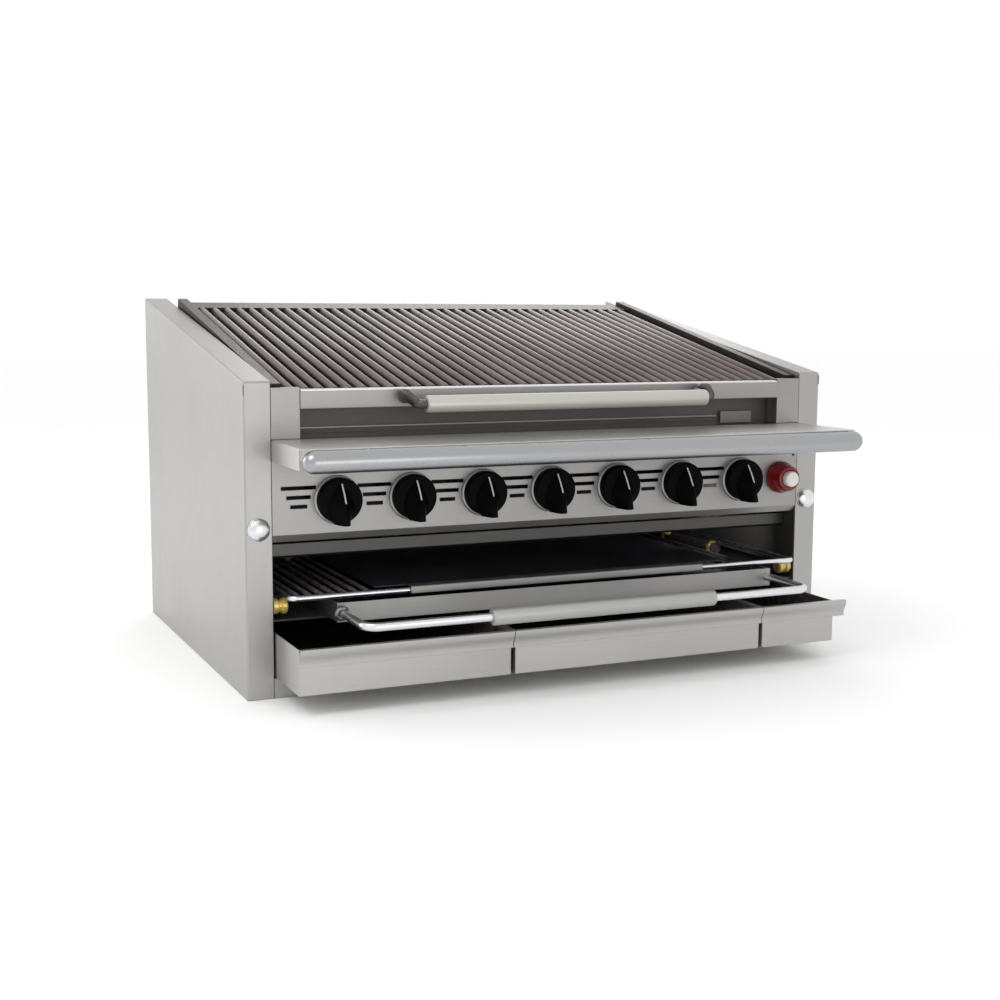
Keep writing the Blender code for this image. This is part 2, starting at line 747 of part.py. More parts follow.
def guide_roller(name, side):
    """Grooved brass roller under the rack's outer bar."""
    radius, groove, low_x, high_x = 0.011, 0.0085, 0.3975, 0.4195
    middle = side * (low_x + high_x) / 2
    centre = (middle, 0.014, RACK_Z - RACK_BAR - GAP - radius)
    half = (high_x - low_x) / 2
    profile = [(0, -half), (radius * 0.8, -half), (radius, -half + 0.002), (radius, -0.003)]
    profile += [(groove, -0.0015), (groove, 0.0015), (radius, 0.003)]
    profile += [(radius, half - 0.002), (radius * 0.8, half), (0, half)]
    bm = turned(profile, 16)
    bmesh.ops.transform(bm, matrix=Matrix.Rotation(math.pi / 2, 4, "Z"), verts=bm.verts)
    return solid(name, bm, "brass", centre, smooth=True)


def rack_guide(name, side):
    """Fixed bar that the rack's outer wire slides along."""
    z = RACK_Z - RACK_BAR - GAP - PIPE_RADIUS
    ends = [((side * FEED_X, GUIDE_FRONT_Y, z), (side * FEED_X, GUIDE_REAR_Y, z))]
    return solid(name, bars(PIPE_RADIUS, ends, 12), "iron_pipe", smooth=True)


def grease_drawer(name, low_x, high_x):
    """Sheet drawer with a lip leaning out along its front."""
    left = low_x if low_x == -DRAWERS_HALF else low_x + SEAM_INSET
    right = high_x if high_x == DRAWERS_HALF else high_x - SEAM_INSET
    low = (left, DRAWER_FRONT_Y, DRAWER_LOW)
    high = (right, DRAWER_REAR_Y, DRAWER_HIGH)
    drawer = solid(name, open_pan(low, high, SHEET), "stainless")
    lip = [
        (DRAWER_FRONT_Y + SHEET / 2, 0.0755),
        (DRAWER_FRONT_Y, 0.0750),
        (DRAWER_FRONT_Y - 0.0060, 0.0862),
        (DRAWER_FRONT_Y - 0.0058, 0.0900),
        (DRAWER_FRONT_Y + SHEET / 2, 0.0895),
    ]
    lip_end = 0.437 if high_x == DRAWERS_HALF else high_x
    lip_start = low_x + 0.0002 if low_x == -DRAWERS_HALF else low_x
    return combine(drawer, "UNION", extrusion(lip, lip_start, lip_end))


# --------------------------------------------------------------------- assembly
def main():
    clear_scene()
    maker_frame()
    for word, side in (("left", -1), ("right", 1)):
        side_panel(f"side_panel_{word}", side)
        plug_button(f"plug_button_{word}", side)
        guide_roller(f"guide_roller_{word}", side)
        rack_guide(f"rack_guide_{word}", side)
    back_panel()
    base_frame()
    upper_front_frame()
    control_panel()
    heat_baffle()
    work_shelf()
    shelf_bullnose()
    gas_manifold()
    gas_feed_pipe()
    gas_valves()
    burners()
    radiants()
    knobs()
    igniter()
    top_grid()
    grid_pivot_rod()
    grid_front_rail()
    grid_handle()
    broiler_rack()
    broiler_plate()
    drip_tray()
    tray_handle()
    for word, (low_x, high_x) in DRAWER_SPANS.items():
        grease_drawer(f"grease_drawer_{word}", low_x, high_x)


main()
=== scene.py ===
"""Looks of a countertop gas charbroiler, laid out as a Blender add-on and run as a script.

Metres, in the frame's own axes: +X to the right, +Y to the back, +Z up, with the
knobs facing -Y. Sheet pieces, bars and fittings are built again here with bends,
welds, seams and fasteners, and take the place of the frame's plainer nodes.
"""
import math

import bmesh
import bpy
from bpy.props import FloatProperty, FloatVectorProperty, PointerProperty
from mathutils import Matrix, Vector


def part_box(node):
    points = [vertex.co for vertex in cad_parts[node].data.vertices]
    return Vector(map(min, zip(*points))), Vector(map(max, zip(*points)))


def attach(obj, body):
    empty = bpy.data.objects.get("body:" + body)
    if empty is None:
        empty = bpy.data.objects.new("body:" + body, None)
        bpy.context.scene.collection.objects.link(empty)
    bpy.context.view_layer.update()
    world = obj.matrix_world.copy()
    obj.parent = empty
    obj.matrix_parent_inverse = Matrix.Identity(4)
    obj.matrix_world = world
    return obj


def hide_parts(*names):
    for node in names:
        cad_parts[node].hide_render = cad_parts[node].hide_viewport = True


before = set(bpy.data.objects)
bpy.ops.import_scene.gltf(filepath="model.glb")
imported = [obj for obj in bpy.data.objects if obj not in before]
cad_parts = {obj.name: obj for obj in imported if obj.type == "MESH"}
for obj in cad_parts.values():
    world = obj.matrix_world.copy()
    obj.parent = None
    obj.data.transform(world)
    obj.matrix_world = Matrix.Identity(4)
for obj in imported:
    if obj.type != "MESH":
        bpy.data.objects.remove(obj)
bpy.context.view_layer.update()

bl_info = {
    "name": "Countertop charbroiler looks",
    "version": (1, 0, 0),
    "blender": (4, 5, 0),
    "location": "View3D > Sidebar > Charbroiler",
    "description": "Builds the fine pieces, finishes and studio of a gas charbroiler",
    "category": "Object",
}

MM = 0.001
BURNERS = 7
SHEET = 1.5 * MM
SMOOTH_ANGLE = math.radians(40)
PANEL_FACE_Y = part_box("side_panel_left")[0].y      # front faces of the side panels
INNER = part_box("side_panel_right")[0].x            # inner skins of the side panels
REAR_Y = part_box("back_panel")[1].y                 # outer face of the back panel

# Upper grid, in its own sloping frame
ROD_COUNT = 39
ROD_PITCH = 20.35 * MM
ROD_RADIUS = 6.35 * MM
ROD_LENGTH = 0.515
GRID_INSIDE = 0.4020                               # half the width between its side bars
GRID_OUTSIDE = 0.4175
GRID_TILT = math.atan(0.2052)
GRID_FRONT = Vector((0.0, 0.015, 0.4183))

# Front rail and handle of the grid
RAIL_HALF = 0.3795
RAIL_TOP = 0.4165
HANDLE_HALF = 0.2300
UPPER_GRIP_HALF = 0.2195

# Knobs
KNOB_RADIUS = 31.0 * MM
WEDGE_FOOT = 17.5                                  # reaches of the wedge grip, in millimetres
WEDGE_TIP = 45.5

# Lower rack, tray and drawers
RACK_HALF = 0.4015
RACK_BAR = 4.2 * MM
WIRE_PITCH = 0.0165
DRAWERS = ("left", "centre", "right")
DRAWER_SEAM = 2.4 * MM
RIGHT_LIP_OVERHANG = 19 * MM                       # how far its lip runs past its walls


def middle(node):
    """Middle of a node's box, in the maker's frame, whose Y starts at the panels' faces."""
    low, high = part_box(node)
    return (low + high) / 2 - Vector((0, PANEL_FACE_Y, 0))


def corners(node):
    """Lowest and highest corner of a node's box, in the maker's frame."""
    low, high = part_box(node)
    return low - Vector((0, PANEL_FACE_Y, 0)), high - Vector((0, PANEL_FACE_Y, 0))


# ------------------------------------------------------------------ properties
def colour(name, description, default):
    return FloatVectorProperty(
        name=name,
        description=description,
        default=default,
        subtype="COLOR",
        size=3,
        min=0.0,
        max=1.0,
    )


def share(name, description, default):
    return FloatProperty(
        name=name,
        description=description,
        default=default,
        subtype="FACTOR",
        min=0.0,
        max=1.0,
    )


def power(name, description, default):
    return FloatProperty(name=name, description=description, default=default, unit="POWER", min=0.0)


def turn_of(name, description, degrees):
    return FloatProperty(
        name=name,
        description=description,
        default=math.radians(degrees),
        subtype="ANGLE",
    )


class CharbroilerFinishes(bpy.types.PropertyGroup):
    """Colours and surface of each finish."""

    steel: colour("Stainless sheet", "Brushed sheet of the casing", (0.40, 0.393, 0.378))
    steel_roughness: share("Sheet roughness", "How blurred the brushed sheet reflects", 0.40)
    polished: colour("Polished bar", "Bull-nose, pull handle and rack wires", (0.74, 0.75, 0.77))
    bars: colour("Broiling bars", "Seasoned round bars of the upper grid", (0.160, 0.132, 0.130))
    upper_grip: colour("Upper grip", "Sleeve of the grid's lifting handle", (0.52, 0.51, 0.47))
    lower_grip: colour("Lower grip", "Sleeve of the drip tray's handle", (0.40, 0.405, 0.385))
    pan: colour("Enamelled pan", "Pan on the lower rack", (0.011, 0.012, 0.016))
    knob: colour("Knobs", "Moulded burner knobs", (0.0012, 0.0012, 0.0012))
    pointer: colour("Pointer line", "Filled line on each knob's grip bar", (0.80, 0.80, 0.78))
    brass: colour("Brass", "Rollers, nuts and gas taps", (0.92, 0.69, 0.21))
    pipe: colour("Black pipe", "Gas pipe and rack guides", (0.058, 0.048, 0.056))
    collar: colour("Igniter collar", "Collar around the push button", (0.19, 0.007, 0.006))
    button: colour("Igniter button", "Push button", (0.78, 0.76, 0.72))
    # Colour of painted shade: the sheet darkens to it inside the cavity, in the drip tray and in the recess
    # under the grid.
    painted_shade: colour("Smoke", "What the sheet darkens to inside the cavity", (0.030, 0.028, 0.027))


class CharbroilerStage(bpy.types.PropertyGroup):
    """Camera, floor and lights."""

    lens: FloatProperty(name="Lens", description="Focal length in millimetres", default=53.46, min=1.0)
    camera_at: FloatVectorProperty(
        name="Camera place",
        description="Where the camera stands",
        default=(-0.953, -2.152, 0.531),
        subtype="TRANSLATION",
        unit="LENGTH",
        size=3,
    )
    yaw: turn_of("Yaw", "From +Y towards +X", 24.44)
    pitch: turn_of("Pitch", "Downwards", 7.54)
    roll: turn_of("Roll", "About the line of sight", 0.35)
    floor: colour("Floor", "Pale floor", (0.985, 0.985, 0.985))
    sky_strength: FloatProperty(
        name="Sky",
        description="Strength of the even white surround",
        default=1.0,
        min=0.0,
    )
    key_power: power("Key light", "Power of the large light above", 15.0)
    side_power: power("Side light", "Power of the box beside the left panel", 11.0)
    low_power: power("Low fill", "Power of the small light near the floor", 3.0)
    cavity_power: power("Cavity light", "Power of the small light inside the lower cavity", 0.14)
    back_power: power("Back light", "Power of the box above and behind", 15.0)


# ---------------------------------------------------------------- shader maths
class Value:
    """A shader socket that takes part in Python arithmetic."""

    def __init__(self, tree, socket):
        self.tree = tree
        self.socket = socket

    def maths(self, operation, *terms, clamp=False):
        node = self.tree.nodes.new("ShaderNodeMath")
        node.operation = operation
        node.use_clamp = clamp
        for slot, term in zip(node.inputs, terms):
            plug(self.tree, slot, term)
        return Value(self.tree, node.outputs[0])

    def __add__(self, other):
        return self.maths("ADD", self, other)

    def __sub__(self, other):
        return self.maths("SUBTRACT", self, other)

    def __rsub__(self, other):
        return self.maths("SUBTRACT", other, self)

    def __mul__(self, other):
        return self.maths("MULTIPLY", self, other)

    __radd__ = __add__
    __rmul__ = __mul__

    def above(self, edge, soft):
        """0 below the edge, 1 above it, with a soft step between."""
        return self.maths("MULTIPLY_ADD", self - edge, 1 / soft, 0.5, clamp=True)

    def below(self, edge, soft):
        return 1 - self.above(edge, soft)

    def least(self, other):
        return self.maths("MINIMUM", self, other)


def plug(tree, slot, value):
    """Links a Value to a node's socket, or sets the socket to a plain value."""
    if isinstance(value, Value):
        tree.links.new(value.socket, slot)
    elif hasattr(slot.default_value, "__len__") and len(slot.default_value) == 4:
        slot.default_value = (*value[:3], 1.0)
    else:
        slot.default_value = value


def set_stops(ramp, stops):
    """Sets a ramp's stops: (place, colour) pairs, lowest first."""
    first, *between, last = stops
    for element, (place, tint) in zip(ramp.elements, (first, last)):
        element.position = place
        element.color = (*tint, 1)
    for place, tint in between:
        ramp.elements.new(place).color = (*tint, 1)


class Finish:
    """A material with one Principled shader, and the nodes that feed it."""

    def __init__(self, name):
        self.material = bpy.data.materials.new(name)
        self.material.use_nodes = True
        self.tree = self.material.node_tree
        self.shader = self.tree.nodes["Principled BSDF"]
        self.place = self.node("ShaderNodeTexCoord", {}, {}, "Object")

    def node(self, kind, settings, inputs, output=0):
        """One node: its settings first, with a ramp's stops, then its sockets' values or links."""
        made = self.tree.nodes.new(kind)
        for key, value in settings.items():
            if key == "stops":
                set_stops(made.color_ramp, value)
            else:
                setattr(made, key, value)
        for key, value in inputs.items():
            plug(self.tree, made.inputs[key], value)
        return Value(self.tree, made.outputs[output])

    def stretched(self, scale):
        return self.node("ShaderNodeMapping", {}, {"Vector": self.place, "Scale": scale})

    def noise(self, scale, detail=3.0, roughness=0.55, stretch=(1, 1, 1), distortion=0.0):
        """Noise about 0.5, over the piece's own place, stretched where wanted."""
        inputs = {
            "Vector": self.stretched(stretch),
            "Scale": scale,
            "Detail": detail,
            "Roughness": roughness,
            "Distortion": distortion,
        }
        return self.node("ShaderNodeTexNoise", {}, inputs, "Fac")

    def blend(self, factor, first, second):
        """A colour between two colours."""
        settings = {"data_type": "RGBA"}
        return self.node("ShaderNodeMix", settings, {0: factor, 6: first, 7: second}, 2)

    def axis(self, letter):
        return self.node("ShaderNodeSeparateXYZ", {}, {"Vector": self.place}, letter)

    def facing(self, letter):
        """How far the surface faces along an axis, from -1 to 1, in the piece's rest place."""
        normal = self.node("ShaderNodeTexCoord", {}, {}, "Normal")
        return self.node("ShaderNodeSeparateXYZ", {}, {"Vector": normal}, letter)

    def relief(self, height, distance, strength=1.0, edge=None):
        """A bumped normal, over softened edges where an edge radius is given."""
        inputs = {"Height": height, "Distance": distance, "Strength": strength}
        if edge:
            inputs["Normal"] = self.node("ShaderNodeBevel", {"samples": 4}, {"Radius": edge})
        return self.node("ShaderNodeBump", {}, inputs)

    def surface(self, **inputs):
        for key, value in inputs.items():
            plug(self.tree, self.shader.inputs[key.replace("_", " ").title()], value)
        return self.material


# -------------------------------------------------------------------- finishes
GRAIN = {"X": (1.0, 60.0, 60.0), "Y": (60.0, 1.0, 60.0)}    # stretch of the streaks, by their way
# Brightness of each copy of the brushed sheet, as painted light and shade: lifted on parts that stand in
# the light, lowered on parts that stand in shade.
SHEET_PAINTED_LIGHT = {
    "sheet_grain_x": 1.0,
    "shelf_steel": 1.35,
    "drawer_sheet": 1.10,
    "bezel_steel": 0.95,
    "panel_sheet": 0.84,
    "pan_lip_steel": 0.75,
    "shaded_plate": 0.5,
    "bracket_steel": 0.22,
    "baffle_sheet": 0.22,
}


def brushed_sheet(name, looks, along="X", painted_shade=None, lift=1.0):
    """Brushed stainless sheet: fine streaks one way, faint clouding and handling marks.

    The mask argument after along takes the finish and gives where painted shade darkens the sheet.
    """
    make = Finish(name)
    streak = make.noise(22.0, 4.0, 0.65, GRAIN[along])
    hair = make.noise(85.0, 2.0, 0.5, GRAIN[along])
    cloud = make.noise(5.5, 3.0, 0.5)
    smear = make.noise(14.0, 4.0, 0.62, distortion=0.8)
    base = [min(1.0, c * lift) for c in looks.steel]
    pale = [min(1.0, c * 1.10) for c in base]
    deep = [c * 0.90 for c in base]
    tone = make.blend((streak * 0.55 + cloud * 0.45).above(0.5, 0.5), deep, pale)
    marks = smear.above(0.62, 0.20) * 0.10
    tone = make.blend(marks, tone, [c * 0.86 for c in base])
    rough = looks.steel_roughness + (hair - 0.5) * 0.16 + (cloud - 0.5) * 0.10 + marks * 0.35
    # Painted shade: where the mask says, the sheet turns to the shade colour and is rougher and less
    # metallic.
    if painted_shade is not None:
        mask = painted_shade(make)
        tone = make.blend(mask, tone, looks.painted_shade)
        rough = rough + mask * 0.16
        metal = 1 - mask * 0.75
    else:
        metal = 0.92
    normal = make.relief(streak * 0.6 + hair * 0.4, 0.00016, 0.35, edge=0.0012)
    return make.surface(base_color=tone, roughness=rough, metallic=metal, normal=normal)


def polished_bar(name, looks, blur=0.24, lift=1.0):
    """Bright polished steel with faint drawing lines and water marks."""
    make = Finish(name)
    haze = make.noise(40.0, 3.0, 0.6)
    spots = make.noise(260.0, 2.0, 0.5).above(0.66, 0.06)
    base = [c * lift for c in looks.polished]
    tone = make.blend(haze * 0.5, base, [c * 0.90 for c in base])
    tone = make.blend(spots * 0.25, tone, [c * 0.72 for c in base])
    rough = blur + haze * 0.09 + spots * 0.10
    normal = make.relief(haze, 0.0001, 0.2)
    return make.surface(base_color=tone, roughness=rough, metallic=1.0, normal=normal)


def broiling_bars(name, looks, lift=1.0):
    """Seasoned bars: brown-grey oxide, dull crust low down, paler on the faces that turn upwards."""
    make = Finish(name)
    crust = make.noise(170.0, 5.0, 0.65)
    patch = make.noise(11.0, 4.0, 0.6, (1.0, 0.35, 1.0))
    base = [c * lift for c in looks.bars]
    pale = [min(1.0, c * 1.75) for c in base]
    deep = [c * 0.42 for c in base]
    tone = make.blend(patch.above(0.5, 0.5), deep, base)
    # Faces that turn upwards are paler.
    top = make.facing("Z").above(0.72, 0.5)
    tone = make.blend(top * (0.35 + patch * 0.5), tone, pale)
    rust = make.noise(46.0, 4.0, 0.6).above(0.60, 0.14) * 0.30
    tone = make.blend(rust, tone, (0.105, 0.048, 0.030))
    rough = 0.33 + crust * 0.22 - top * 0.06
    normal = make.relief(crust, 0.0005, 0.5)
    return make.surface(base_color=tone, roughness=rough, metallic=0.75, normal=normal)


def satin_sleeve(name, base):
    """Pale satin sleeve with fine turning rings and handling shine."""
    make = Finish(name)
    rings = make.noise(60.0, 2.0, 0.5, (30.0, 1.0, 1.0))
    worn = make.noise(16.0, 3.0, 0.6)
    tone = make.blend(worn * 0.6, base, [c * 0.88 for c in base])
    rough = 0.30 + rings * 0.14 + worn * 0.08
    normal = make.relief(rings, 0.0001, 0.25, edge=0.001)
    return make.surface(base_color=tone, roughness=rough, metallic=0.55, normal=normal)


def enamelled_pan(name, looks):
    """Blue-black enamel with orange peel, fine scratches and grease haze."""
    make = Finish(name)
    peel = make.noise(420.0, 2.0, 0.5)
    haze = make.noise(9.0, 4.0, 0.6)
    scratch = make.noise(120.0, 3.0, 0.7, (1.0, 0.06, 1.0), 0.4).above(0.66, 0.05)
    tone = make.blend(haze.above(0.52, 0.3) * 0.5, looks.pan, [c * 2.6 for c in looks.pan])
    tone = make.blend(scratch * 0.30, tone, (0.06, 0.06, 0.065))
    rough = 0.30 + haze * 0.20 + scratch * 0.2
    normal = make.relief(peel, 0.0003, 0.25, edge=0.001)
    return make.surface(base_color=tone, roughness=rough, metallic=0.0, normal=normal)


def moulded_knob(name, looks):
    """Glossy black moulding, faintly hazed by grease and cleaning."""
    make = Finish(name)
    peel = make.noise(520.0, 2.0, 0.5)
    haze = make.noise(34.0, 3.0, 0.6)
    tone = make.blend(haze * 0.5, looks.knob, [c * 2.4 for c in looks.knob])
    rough = 0.46 + haze * 0.14
    normal = make.relief(peel, 0.0002, 0.18, edge=0.0006)
    make.shader.inputs["Specular IOR Level"].default_value = 0.05
    return make.surface(base_color=tone, roughness=rough, metallic=0.0, normal=normal)


def aged_brass(name, looks):
    """Turned brass with tool marks, gone olive where it is old."""
    make = Finish(name)
    tool = make.noise(190.0, 2.0, 0.5, (6.0, 1.0, 1.0))
    age = make.noise(38.0, 4.0, 0.65).above(0.50, 0.35)
    tone = make.blend(age * 0.45, looks.brass, [c * 0.40 for c in looks.brass])
    rough = 0.24 + age * 0.22 + tool * 0.06
    normal = make.relief(tool, 0.0002, 0.3, edge=0.0006)
    return make.surface(base_color=tone, roughness=rough, metallic=0.6, normal=normal)


def black_pipe(name, looks, lift=1.0):
    """Black iron pipe with mill scale."""
    make = Finish(name)
    scale = make.noise(95.0, 5.0, 0.65)
    base = [c * lift for c in looks.pipe]
    tone = make.blend(scale.above(0.5, 0.4), [c * 0.6 for c in base], [c * 2.2 for c in base])
    rough = 0.42 + scale * 0.25
    normal = make.relief(scale, 0.0004, 0.4)
    return make.surface(base_color=tone, roughness=rough, metallic=0.6, normal=normal)


def burnt_steel(name, looks):
    """Stainless that has run hot: straw, brown and blue bands under soot."""
    make = Finish(name)
    patch = make.noise(13.0, 4.0, 0.6)
    stops = (
        (0.30, (0.030, 0.028, 0.030)),
        (0.45, (0.075, 0.060, 0.060)),
        (0.58, (0.130, 0.080, 0.045)),
        (0.72, (0.20, 0.17, 0.14)),
    )
    heat = make.node("ShaderNodeValToRGB", {"stops": stops}, {"Fac": patch}, "Color")
    grit = make.noise(240.0, 4.0, 0.6)
    normal = make.relief(grit, 0.0004, 0.4, edge=0.001)
    return make.surface(base_color=heat, roughness=0.42 + grit * 0.22, metallic=0.7, normal=normal)


def gloss_colour(name, base, roughness):
    """Gloss plastic with a slight peel and finger haze."""
    make = Finish(name)
    peel = make.noise(480.0, 2.0, 0.5)
    haze = make.noise(45.0, 3.0, 0.6)
    tone = make.blend(haze * 0.5, base, [c * 0.78 for c in base])
    normal = make.relief(peel, 0.0002, 0.2, edge=0.0006)
    return make.surface(base_color=tone, roughness=roughness + haze * 0.12, metallic=0.0, normal=normal)


def paint_nodes(names, material):
    """Gives some of the frame's own nodes a material."""
    for name in names:
        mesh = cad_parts[name].data
        mesh.materials.clear()
        mesh.materials.append(material)


def numbered(stem):
    return [f"{stem}_{i + 1}" for i in range(BURNERS)]


def cavity_painted_shade(make):
    """Painted shade: darkens the sheet where it faces the burners' cavity."""
    x, y, z = make.axis("X"), make.axis("Y"), make.axis("Z")
    inside = (x * x).below(0.4215 ** 2, 0.0012) * y.above(PANEL_FACE_Y + 0.002, 0.004)
    inside = inside * y.below(REAR_Y - 0.0008, 0.0006)
    return (inside * z.below(0.400, 0.02) * 0.96).least(0.97)


def tray_painted_shade(make):
    """Painted shade: dark everywhere on the tray but its front wall."""
    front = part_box("drip_tray")[0].y
    return make.axis("Y").above(front + 1.0 * MM, 0.6 * MM) * 0.95


def recess_shade(make):
    """Darkened where the wall under the grid stands back from the front."""
    y = make.axis("Y")
    return y.above(PANEL_FACE_Y + 0.020, 0.014) * 0.72


# ---------------------------------------------------------------------- shapes
def add_box(bm, low, high):
    """Adds a box between two corners."""
    low, high = Vector(low), Vector(high)
    matrix = Matrix.Translation((low + high) / 2) @ Matrix.Diagonal((*(high - low), 1.0))
    bmesh.ops.create_cube(bm, size=1.0, matrix=matrix)


def boxes(*pairs):
    bm = bmesh.new()
    for low, high in pairs:
        add_box(bm, low, high)
    return bm


def millimetres(*pairs):
    """Pairs in millimetres as pairs in metres."""
    return [(first * MM, second * MM) for first, second in pairs]


def mirrored(profile):
    """A profile of (radius, reach) pairs followed by its own mirror image."""
    return profile + [(radius, -reach) for radius, reach in profile[::-1]]


def skin(bm, rings, closed=False):
    """Joins equal rings of points into a tube, capped unless it runs round."""
    pairs = list(zip(rings, rings[1:]))
    if closed:
        pairs.append((rings[-1], rings[0]))
    else:
        bm.faces.new(rings[0])
        bm.faces.new(rings[-1])
    for a, b in pairs:
        for k in range(len(a)):
            m = (k + 1) % len(a)
            bm.faces.new((a[k], a[m], b[m], b[k]))


def rounded(points, radius, steps=6):
    """The points with each inner corner turned into an arc."""
    points = [Vector(point) for point in points]
    route = [points[0]]
    for before, corner, after in zip(points, points[1:], points[2:]):
        a = (before - corner).normalized()
        b = (after - corner).normalized()
        half = a.angle(b) / 2
        cut = radius / math.tan(half)
        centre = corner + (a + b).normalized() * (radius / math.sin(half))
        start = (corner + a * cut - centre).normalized()
        end = (corner + b * cut - centre).normalized()
        for i in range(steps + 1):
            route.append(centre + start.slerp(end, i / steps) * radius)
    route.append(points[-1])
    return route


def round_end(at, inward, radius, rise):
    """Places and radii of the rings of a rounded end, from its tip inwards."""
    step = inward.normalized() * radius * rise
    return [
        (at + step * (1 - math.cos(angle)), radius * max(math.sin(angle), 0.02))
        for angle in (0, 0.4, 0.8, 1.2)
    ]


def swept(bm, route, radius, sides=16, rise=0.0, flat=1.0, closed=False):
    """Adds a round rod along a route; rise rounds its ends, flat squeezes its section."""
    route = [Vector(point) for point in route]
    radii = [radius] * len(route)
    if rise:
        first, second, before, last = route[0], route[1], route[-2], route[-1]
        front = round_end(first, second - first, radius, rise)
        back = round_end(last, before - last, radius, rise)[::-1]
        start = first + (second - first).normalized() * radius * rise
        end = last + (before - last).normalized() * radius * rise
        route = [at for at, _ in front] + [start] + route[1:-1] + [end] + [at for at, _ in back]
        radii = [size for _, size in front] + radii + [size for _, size in back]
    count = len(route)
    rings = []
    across = None
    for i in range(count):
        if closed:
            along = route[(i + 1) % count] - route[i - 1]
        else:
            along = route[min(i + 1, count - 1)] - route[max(i - 1, 0)]
        along.normalize()
        if across is None:
            across = along.orthogonal().normalized()
            if abs(along.z) < 0.9:
                across = along.cross(Vector((0, 0, 1))).normalized()
        across = (across - along * across.dot(along)).normalized()
        up = along.cross(across)
        ring = []
        for k in range(sides):
            angle = 2 * math.pi * k / sides
            offset = across * math.cos(angle) * flat + up * math.sin(angle)
            ring.append(bm.verts.new(route[i] + offset * radii[i]))
        rings.append(ring)
    skin(bm, rings, closed)
    return bm


def turned(bm, profile, at, axis=(0, -1, 0), segments=40):
    """Adds a solid of revolution: (radius, reach) pairs about an axis through a point."""
    turn = Vector(axis).to_track_quat("Z", "Y").to_matrix().to_4x4()
    matrix = Matrix.Translation(at) @ turn
    rings = []
    for radius, reach in profile:
        count = 1 if radius == 0 else segments
        ring = []
        for i in range(count):
            angle = 2 * math.pi * (i + 0.5) / segments
            spot = Vector((radius * math.cos(angle), radius * math.sin(angle), reach))
            ring.append(bm.verts.new(matrix @ spot))
        rings.append(ring)
    for a, b in zip(rings, rings[1:]):
        for i in range(segments):
            j = (i + 1) % segments
            ring = [a[i % len(a)], a[j % len(a)], b[j % len(b)], b[i % len(b)]]
            bm.faces.new(list(dict.fromkeys(ring)))
    for ring in (rings[0], rings[-1]):
        if len(ring) > 1:
            bm.faces.new(ring)
    return bm


def dome(radius, rise, reach, steps=8):
    """Profile of a dome on a short rim."""
    profile = [(radius, 0.0), (radius, reach)]
    for i in range(1, steps + 1):
        angle = math.pi / 2 * i / steps
        profile.append((radius * math.cos(angle), reach + rise * math.sin(angle)))
    profile[-1] = (0, profile[-1][1])
    return profile


def folded(bm, points, low_x, high_x, thickness=SHEET, bend=2.5 * MM):
    """Adds a sheet folded along X, its outer face following (y, z) points with real bends."""
    path = rounded([(0.0, y, z) for y, z in points], bend, 5)
    inner = []
    for i, point in enumerate(path):
        along = path[min(i + 1, len(path) - 1)] - path[max(i - 1, 0)]
        normal = Vector((0, -along.z, along.y)).normalized()
        inner.append(point + normal * thickness)
    outline = path + inner[::-1]
    near = [bm.verts.new((low_x, point.y, point.z)) for point in outline]
    far = [bm.verts.new((high_x, point.y, point.z)) for point in outline]
    skin(bm, [near, far])
    return bm


def open_box(low, high, wall):
    """A thin box open at the top, with rounded upright corners."""
    bm = bmesh.new()
    add_box(bm, low, high)
    top = [face for face in bm.faces if face.normal.z > 0.9]
    bmesh.ops.delete(bm, geom=top, context="FACES_ONLY")
    upright = [edge for edge in bm.edges if abs(edge.verts[0].co.z - edge.verts[1].co.z) > 1e-4]
    bmesh.ops.bevel(bm, geom=upright, offset=3 * MM, segments=4, affect="EDGES", profile=0.5)
    bmesh.ops.solidify(bm, geom=bm.faces[:], thickness=wall)
    return bm


def bead(bm, at, size, stretch=(1, 1, 1)):
    """Adds a small weld bead."""
    matrix = Matrix.Translation(at) @ Matrix.Diagonal((*stretch, 1.0))
    bmesh.ops.create_icosphere(bm, subdivisions=2, radius=size, matrix=matrix)


def pan_screw(bm, at, axis=(0, -1, 0), radius=2.6 * MM):
    """Adds a domed screw head with a washer rim."""
    turned(bm, dome(radius, radius * 0.5, radius * 0.25, 5), at, axis, 20)


def piece(name, bm, material, body, replaces=(), soft=0.0):
    """A finished object, carried by a body of the frame."""
    bmesh.ops.recalc_face_normals(bm, faces=bm.faces)
    bmesh.ops.translate(bm, vec=(0, PANEL_FACE_Y, 0), verts=bm.verts)
    mesh = bpy.data.meshes.new(name)
    bm.to_mesh(mesh)
    bm.free()
    mesh.materials.append(bpy.data.materials[material])
    mesh.shade_smooth()
    mesh.set_sharp_from_angle(angle=SMOOTH_ANGLE)
    item = bpy.data.objects.new(name, mesh)
    bpy.context.scene.collection.objects.link(item)
    if soft:
        edges = item.modifiers.new("soft edges", "BEVEL")
        edges.width = soft
        edges.segments = 2
        edges.limit_method = "ANGLE"
        edges.angle_limit = SMOOTH_ANGLE
        edges.harden_normals = True
    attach(item, body)
    if replaces:
        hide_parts(*replaces)
    return item


def on_grid(bm):
    """Carries a bmesh from the sloping grid's own frame to the maker's frame."""
    matrix = Matrix.Translation(GRID_FRONT) @ Matrix.Rotation(GRID_TILT, 4, "X")
    bmesh.ops.transform(bm, matrix=matrix, verts=bm.verts)
    return bm


